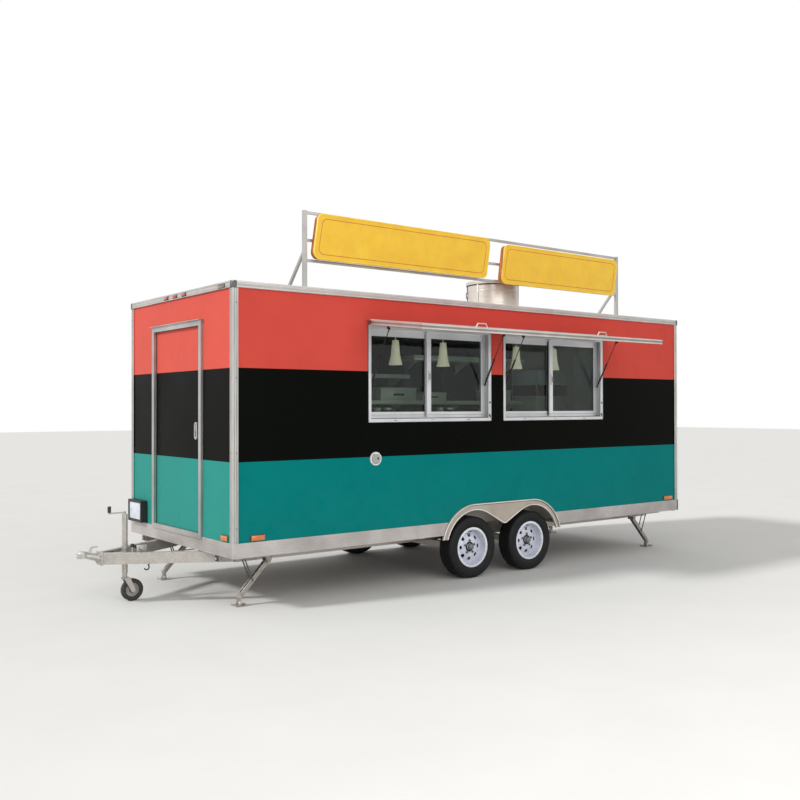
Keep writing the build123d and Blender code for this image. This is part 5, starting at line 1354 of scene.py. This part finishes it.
def makeLegFoot(name):
    low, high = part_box("leg_" + name)
    lean = -1 if low.x < 0 else 1
    x = low.x + footSet["half"] if lean < 0 else high.x - footSet["half"]
    y, knuckle, plate = (low.y + high.y) / 2, footSet["knuckle"], footSet["plate"]
    bm = bmesh.new()
    for side in (-1, 1):
        addBolt(bm, (x, y + side * footSet["width"] / 2, knuckle), (0, side, 0), 0.0095, 0.009)
        lifted = Matrix.Rotation(math.radians(-side * footSet["lift"]), 4, "Y")
        addBox(bm, (-0.002, -plate, -0.0025), (side * 0.016, plate, 0.002), 0.001, 0,
               Matrix.Translation((x + side * 0.044, y, 0.0035)) @ lifted)
        addPlate(bm, footSet["gusset"], 0.004, facing((x, y + side * 0.0245, 0.005), (0, -side, 0)), 0.001)
    drop, length = footSet["pivot"] - knuckle, footSet["length"]
    along = Vector((lean * math.sqrt(length ** 2 - drop ** 2), 0, -drop)).normalized()
    turn = facing(Vector((x, y, knuckle)) - along * length, (-along.z * lean, 0, along.x * lean), along)
    (first, last), shadedGroove, top = footSet["face"], footSet["shadedGroove"], footSet["depth"]
    addBox(bm, (-shadedGroove, first, top - 0.001), (shadedGroove, last, top + 0.0008), 0.0003, 1, turn)
    offset, radius = footSet["edge"]
    for x in (-offset, offset):
        addRod(bm, turn @ Vector((x, first, top)), turn @ Vector((x, last, top)), radius, 10)
    for y in spread(first + 0.04, last - 0.04, footSet["slots"]):
        addBox(bm, (-shadedGroove, y - 0.004, top - 0.001), (shadedGroove, y + 0.004, top + 0.003), 0.001, 0, turn)
    newPiece("foot_" + name, bm, ["zincBright", "blackSteel"], "leg_" + name)


for name in cornerNames:
    makeLegFoot(name)
print("fender, skirt and leg trim made")
makeDoorSeal()


def makeHatchTrim():
    # a rubber seal on the underside's rim, stiffening ribs in its recess and bolts at the handles
    bm = bmesh.new()
    turn = hatchTurn()
    outward = turn.col[2].xyz
    start, end, reach = hatchSet["start"], hatchSet["end"], hatchSet["reach"]
    rim, thick, skin = hatchSet["rim"], hatchSet["thick"], hatchSet["skin"]
    a, b = hatchSet["sealEdge"]
    x0, x1, y1, near, top = start + a, end - a, reach - a, thick - 0.001, thick + hatchSet["seal"]
    for low, high in (((x0, 0.030), (x1, 0.040)), ((x0, reach - b), (x1, y1)),
                      ((x0, 0.030), (start + b, y1)), ((end - b, 0.030), (x1, y1))):
        addBox(bm, (*low, near), (*high, top), 0.0006, 1, turn)
    for x in spread(start + 0.40, end - 0.40, 0.60):
        if min(abs(x - taken) for taken in hatchSet["ribs"]) > 0.05:
            addBox(bm, (x - 0.014, 0.055, skin - 0.001), (x + 0.014, reach - rim, skin + 0.016), 0.002,
                   0, turn)
    for x in spread(start + 0.06, end - 0.06, 0.38):
        addScrew(bm, turn @ Vector((x, reach - 0.034, thick - 0.0002)), outward, 0.0045, 2)
    for x in [place + side for place in hatchSet["handles"] for side in (-0.065, 0.065)]:
        spot = turn @ Vector((x, reach - 0.0080, 0.0005))
        addRod(bm, spot, spot - outward * 0.004, 0.0075, 16, 0.001)
    newPiece("hatch_trim", bm, ["aluminiumLong", "blackRubber", "darkScrew"], "hatch")


makeHatchTrim()
print("door seal and hatch trim made")

# Inside: wall boards with seams, cabinet fronts with handles, shelf lips and a tall unit's panels.
# The bench is (start, end, low, high, depth), a shelf (start, end, z, depth), a box (start, width, height),
# and a panel of the tall unit (low, high, material).
insideSet = {"wall": 0.050, "boardZ": (1.46, 2.60), "boards": (0.30, 5.14), "boardPitch": 0.60,
             "rearBoards": (0.10, 0.56, 0.42), "rearZ": ((0.60, 1.752), (1.757, 2.60)),
             "bench": (1.15, 5.05, 0.762, 1.438, 0.450), "doorPitch": 0.49, "tall": (5.15, 5.70, 0.45),
             "panels": ((0.60, 1.60, 1), (1.61, 1.80, 1), (1.81, 1.95, 3), (1.96, 2.13, 0)),
             "shelves": ((1.15, 3.20, 2.000, 0.300), (3.246, 5.05, 2.218, 0.320), (1.15, 5.05, 1.700, 0.300)),
             "jars": (1.50, 1.66, 1.83, 2.62, 2.78, 2.93, 3.72, 3.88, 4.40, 4.55),
             "jar": ((0, 0), (0.050, 0), (0.054, 0.006), (0.054, 0.150), (0.046, 0.172), (0.046, 0.182)),
             "lid": ((0.046, 0.180), (0.051, 0.182), (0.051, 0.204), (0.047, 0.208), (0.0, 0.209)),
             "boxes": ((1.30, 0.42, 0.20), (2.80, 0.52, 0.17), (3.42, 0.36, 0.12), (4.46, 0.40, 0.16))}
wallY, wallX = farY - insideSet["wall"], rearX - insideSet["wall"]


def makeStores():
    # jars on the bench, boxes on the shelf over it
    bm = bmesh.new()
    benchTop, shelfTop = insideSet["bench"][3] + 0.017, insideSet["shelves"][2][2] + 0.024
    for count, along in enumerate(insideSet["jars"]):
        spot = (frontX + along, wallY - 0.22, benchTop)
        addTurned(bm, insideSet["jar"], spot, upward, 24, count % 2)
        addTurned(bm, insideSet["lid"], spot, upward, 24, 2)
    for start, width, height in insideSet["boxes"]:
        x, y, z, top = frontX + start, wallY, shelfTop, shelfTop + height
        addBox(bm, (x, y - 0.27, z), (x + width, y - 0.05, top), 0.006, 2)
        addBox(bm, (x - 0.006, y - 0.276, top - 0.018), (x + width + 0.006, y - 0.044, top), 0.004)
        addBox(bm, (x + width * 0.35, y - 0.275, z + height * 0.45),
               (x + width * 0.65, y - 0.268, z + height * 0.60), 0.002, 1)
    newPiece("inside_stores", bm, ["insideBlue", "insideDark", "kitchenSteel"])


def addBoards(bm):
    start, end = (frontX + along for along in insideSet["boards"])
    edges, (z0, z1) = spread(start, end, insideSet["boardPitch"]), insideSet["boardZ"]
    # the far wall's boards are dark: painted shade of the dim inside
    for x0, x1 in zip(edges, edges[1:]):
        addBox(bm, (x0 + 0.002, wallY - 0.006, z0), (x1 - 0.002, wallY + 0.001, z1), 0.0015, 3)
    near, fromFar, pitch = insideSet["rearBoards"]
    edges = spread(servingY + near, farY - fromFar, pitch)
    for y0, y1 in zip(edges, edges[1:]):
        for low, high in insideSet["rearZ"]:
            addBox(bm, (wallX - 0.006, y0 + 0.002, low), (wallX + 0.001, y1 - 0.002, high), 0.0015, 1)
    addBox(bm, (wallX - 0.012, servingY + 1.29, 1.90), (wallX - 0.005, servingY + 1.50, 2.39), 0.002)


def addBench(bm):
    start, end, low, high, depth = insideSet["bench"]
    start, end, face = frontX + start, frontX + end, wallY - depth
    doors = spread(start, end, insideSet["doorPitch"])
    for x0, x1 in zip(doors, doors[1:]):
        addBox(bm, (x0 + 0.004, face - 0.016, low + 0.012), (x1 - 0.004, face + 0.001, high - 0.045), 0.003,
               2)
        x, y = x1 - 0.045, face - 0.034
        addRod(bm, (x, y, high - 0.22), (x, y, high - 0.10), 0.005, 12, 0.001, 2)
        for z in (high - 0.20, high - 0.12):
            addRod(bm, (x, y, z), (x, face - 0.014, z), 0.004, 10, 0, 2)
    addBox(bm, (start, face - 0.022, high - 0.004), (end, wallY, high + 0.018), 0.004, 2)


def addShelves(bm):
    for start, end, z, depth in insideSet["shelves"]:
        start, end, face, arm = frontX + start, frontX + end, wallY - depth, depth * 0.8
        addBox(bm, (start, face - 0.003, z + 0.002), (end, face + 0.001, z + 0.045), 0.0015, 2)
        bracket = ((0, 0), (arm, 0), (arm, -0.012), (0.012, -0.14), (0, -0.14))
        for x in spread(start + 0.10, end - 0.10, 0.9):
            addPlate(bm, bracket, 0.004, facing((x, wallY, z), front), 0.0008, 2)


def makeInside():
    bm = bmesh.new()
    addBoards(bm)
    addBench(bm)
    addShelves(bm)
    start, end, depth = insideSet["tall"]
    start, end, face = frontX + start, frontX + end, wallY - depth
    for low, high, material in insideSet["panels"]:
        addBox(bm, (start - 0.008, face + 0.006, low), (start + 0.001, wallY - 0.012, high), 0.002, material)
        addBox(bm, (start + 0.006, face - 0.014, low), (end - 0.006, face + 0.001, high), 0.003, material)
    materials = ["insideBlue", "insideGrey", "kitchenSteel", "insideDark"]
    newPiece("inside_fittings", bm, materials)


makeInside()
makeStores()
print("inside made")

# Camera at the photograph's angle, in metres and degrees
cameraSet = {"place": (-5.967, -7.410, 1.661), "yaw": 37.5785, "pitch": 0.4751, "roll": -0.1034,
             "lens": 41.806, "sensor": 36.0}


def makeCamera():
    data = bpy.data.cameras.new("camera")
    data.sensor_width, data.lens = cameraSet["sensor"], cameraSet["lens"]
    camera = addObject("camera", data)
    turn = Matrix.Rotation(math.radians(-cameraSet["yaw"]), 4, "Z")
    tilt = Matrix.Rotation(math.radians(90 + cameraSet["pitch"]), 4, "X")
    roll = Matrix.Rotation(math.radians(cameraSet["roll"]), 4, "Z")
    camera.matrix_world = Matrix.Translation(cameraSet["place"]) @ turn @ tilt @ roll
    bpy.context.scene.camera = camera


# Light: a bright soft sky, a broad sun from the drawbar's side and a large soft panel on the serving side
light = {"sky": 0.78, "sunPower": 2.5, "sunSize": 8.0, "sunFrom": (-0.78, 0.16, 0.62), "panelPower": 430.0,
         "panelSize": 9.0, "panelPlace": (-2.5, -9.0, 4.0), "aimZ": 1.2}


def addLight(name, kind, power, direction):
    data = bpy.data.lights.new(name, kind)
    data.energy = power
    lamp = addObject(name, data)
    lamp.rotation_euler = direction.to_track_quat("Z", "Y").to_euler()
    return lamp


def makeLights():
    scene = bpy.context.scene
    scene.view_settings.view_transform = "Standard"
    scene.world = bpy.data.worlds.new("sky")
    scene.world.use_nodes = True
    tree = scene.world.node_tree
    rays = addNode(tree, "ShaderNodeLightPath", {}).outputs
    seen = maths(tree, "ADD", maths(tree, "ADD", rays["Is Camera Ray"], rays["Is Glossy Ray"]),
                 rays["Is Transmission Ray"], True)
    setInputs(tree, tree.nodes["Background"], {"Color": (1, 1, 1, 1),
                                               "Strength": mapped(tree, seen, 0.0, 1.0, light["sky"], 1.0)})
    sun = addLight("sun", "SUN", light["sunPower"], Vector(light["sunFrom"]))
    sun.data.angle = math.radians(light["sunSize"])
    place = Vector(light["panelPlace"])
    panel = addLight("panel", "AREA", light["panelPower"], place - Vector((0, middleY, light["aimZ"])))
    panel.data.size = light["panelSize"]
    panel.location = place


# Pale floor
floorSet = {"size": 60.0, "tone": (206, 205, 202), "shade": (198, 197, 194), "rough": 0.85}


def makeFloor():
    bm = bmesh.new()
    bmesh.ops.create_grid(bm, x_segments=1, y_segments=1, size=floorSet["size"])
    mesh = bpy.data.meshes.new("floorPlane")
    bm.to_mesh(mesh)
    bm.free()
    material, tree, shader, place = newMaterial("floorPale")
    marks = useGroup(tree, patina, Vector=place, Scale=1.5)
    base = toned(tree, marks["Broad"], floorSet["tone"], floorSet["shade"])
    setInputs(tree, shader, {"Base Color": base, "Roughness": floorSet["rough"]})
    mesh.materials.append(material)
    addObject("floorPlane", mesh)


makeCamera()
makeLights()
makeFloor()
print("camera, lights and floor made")
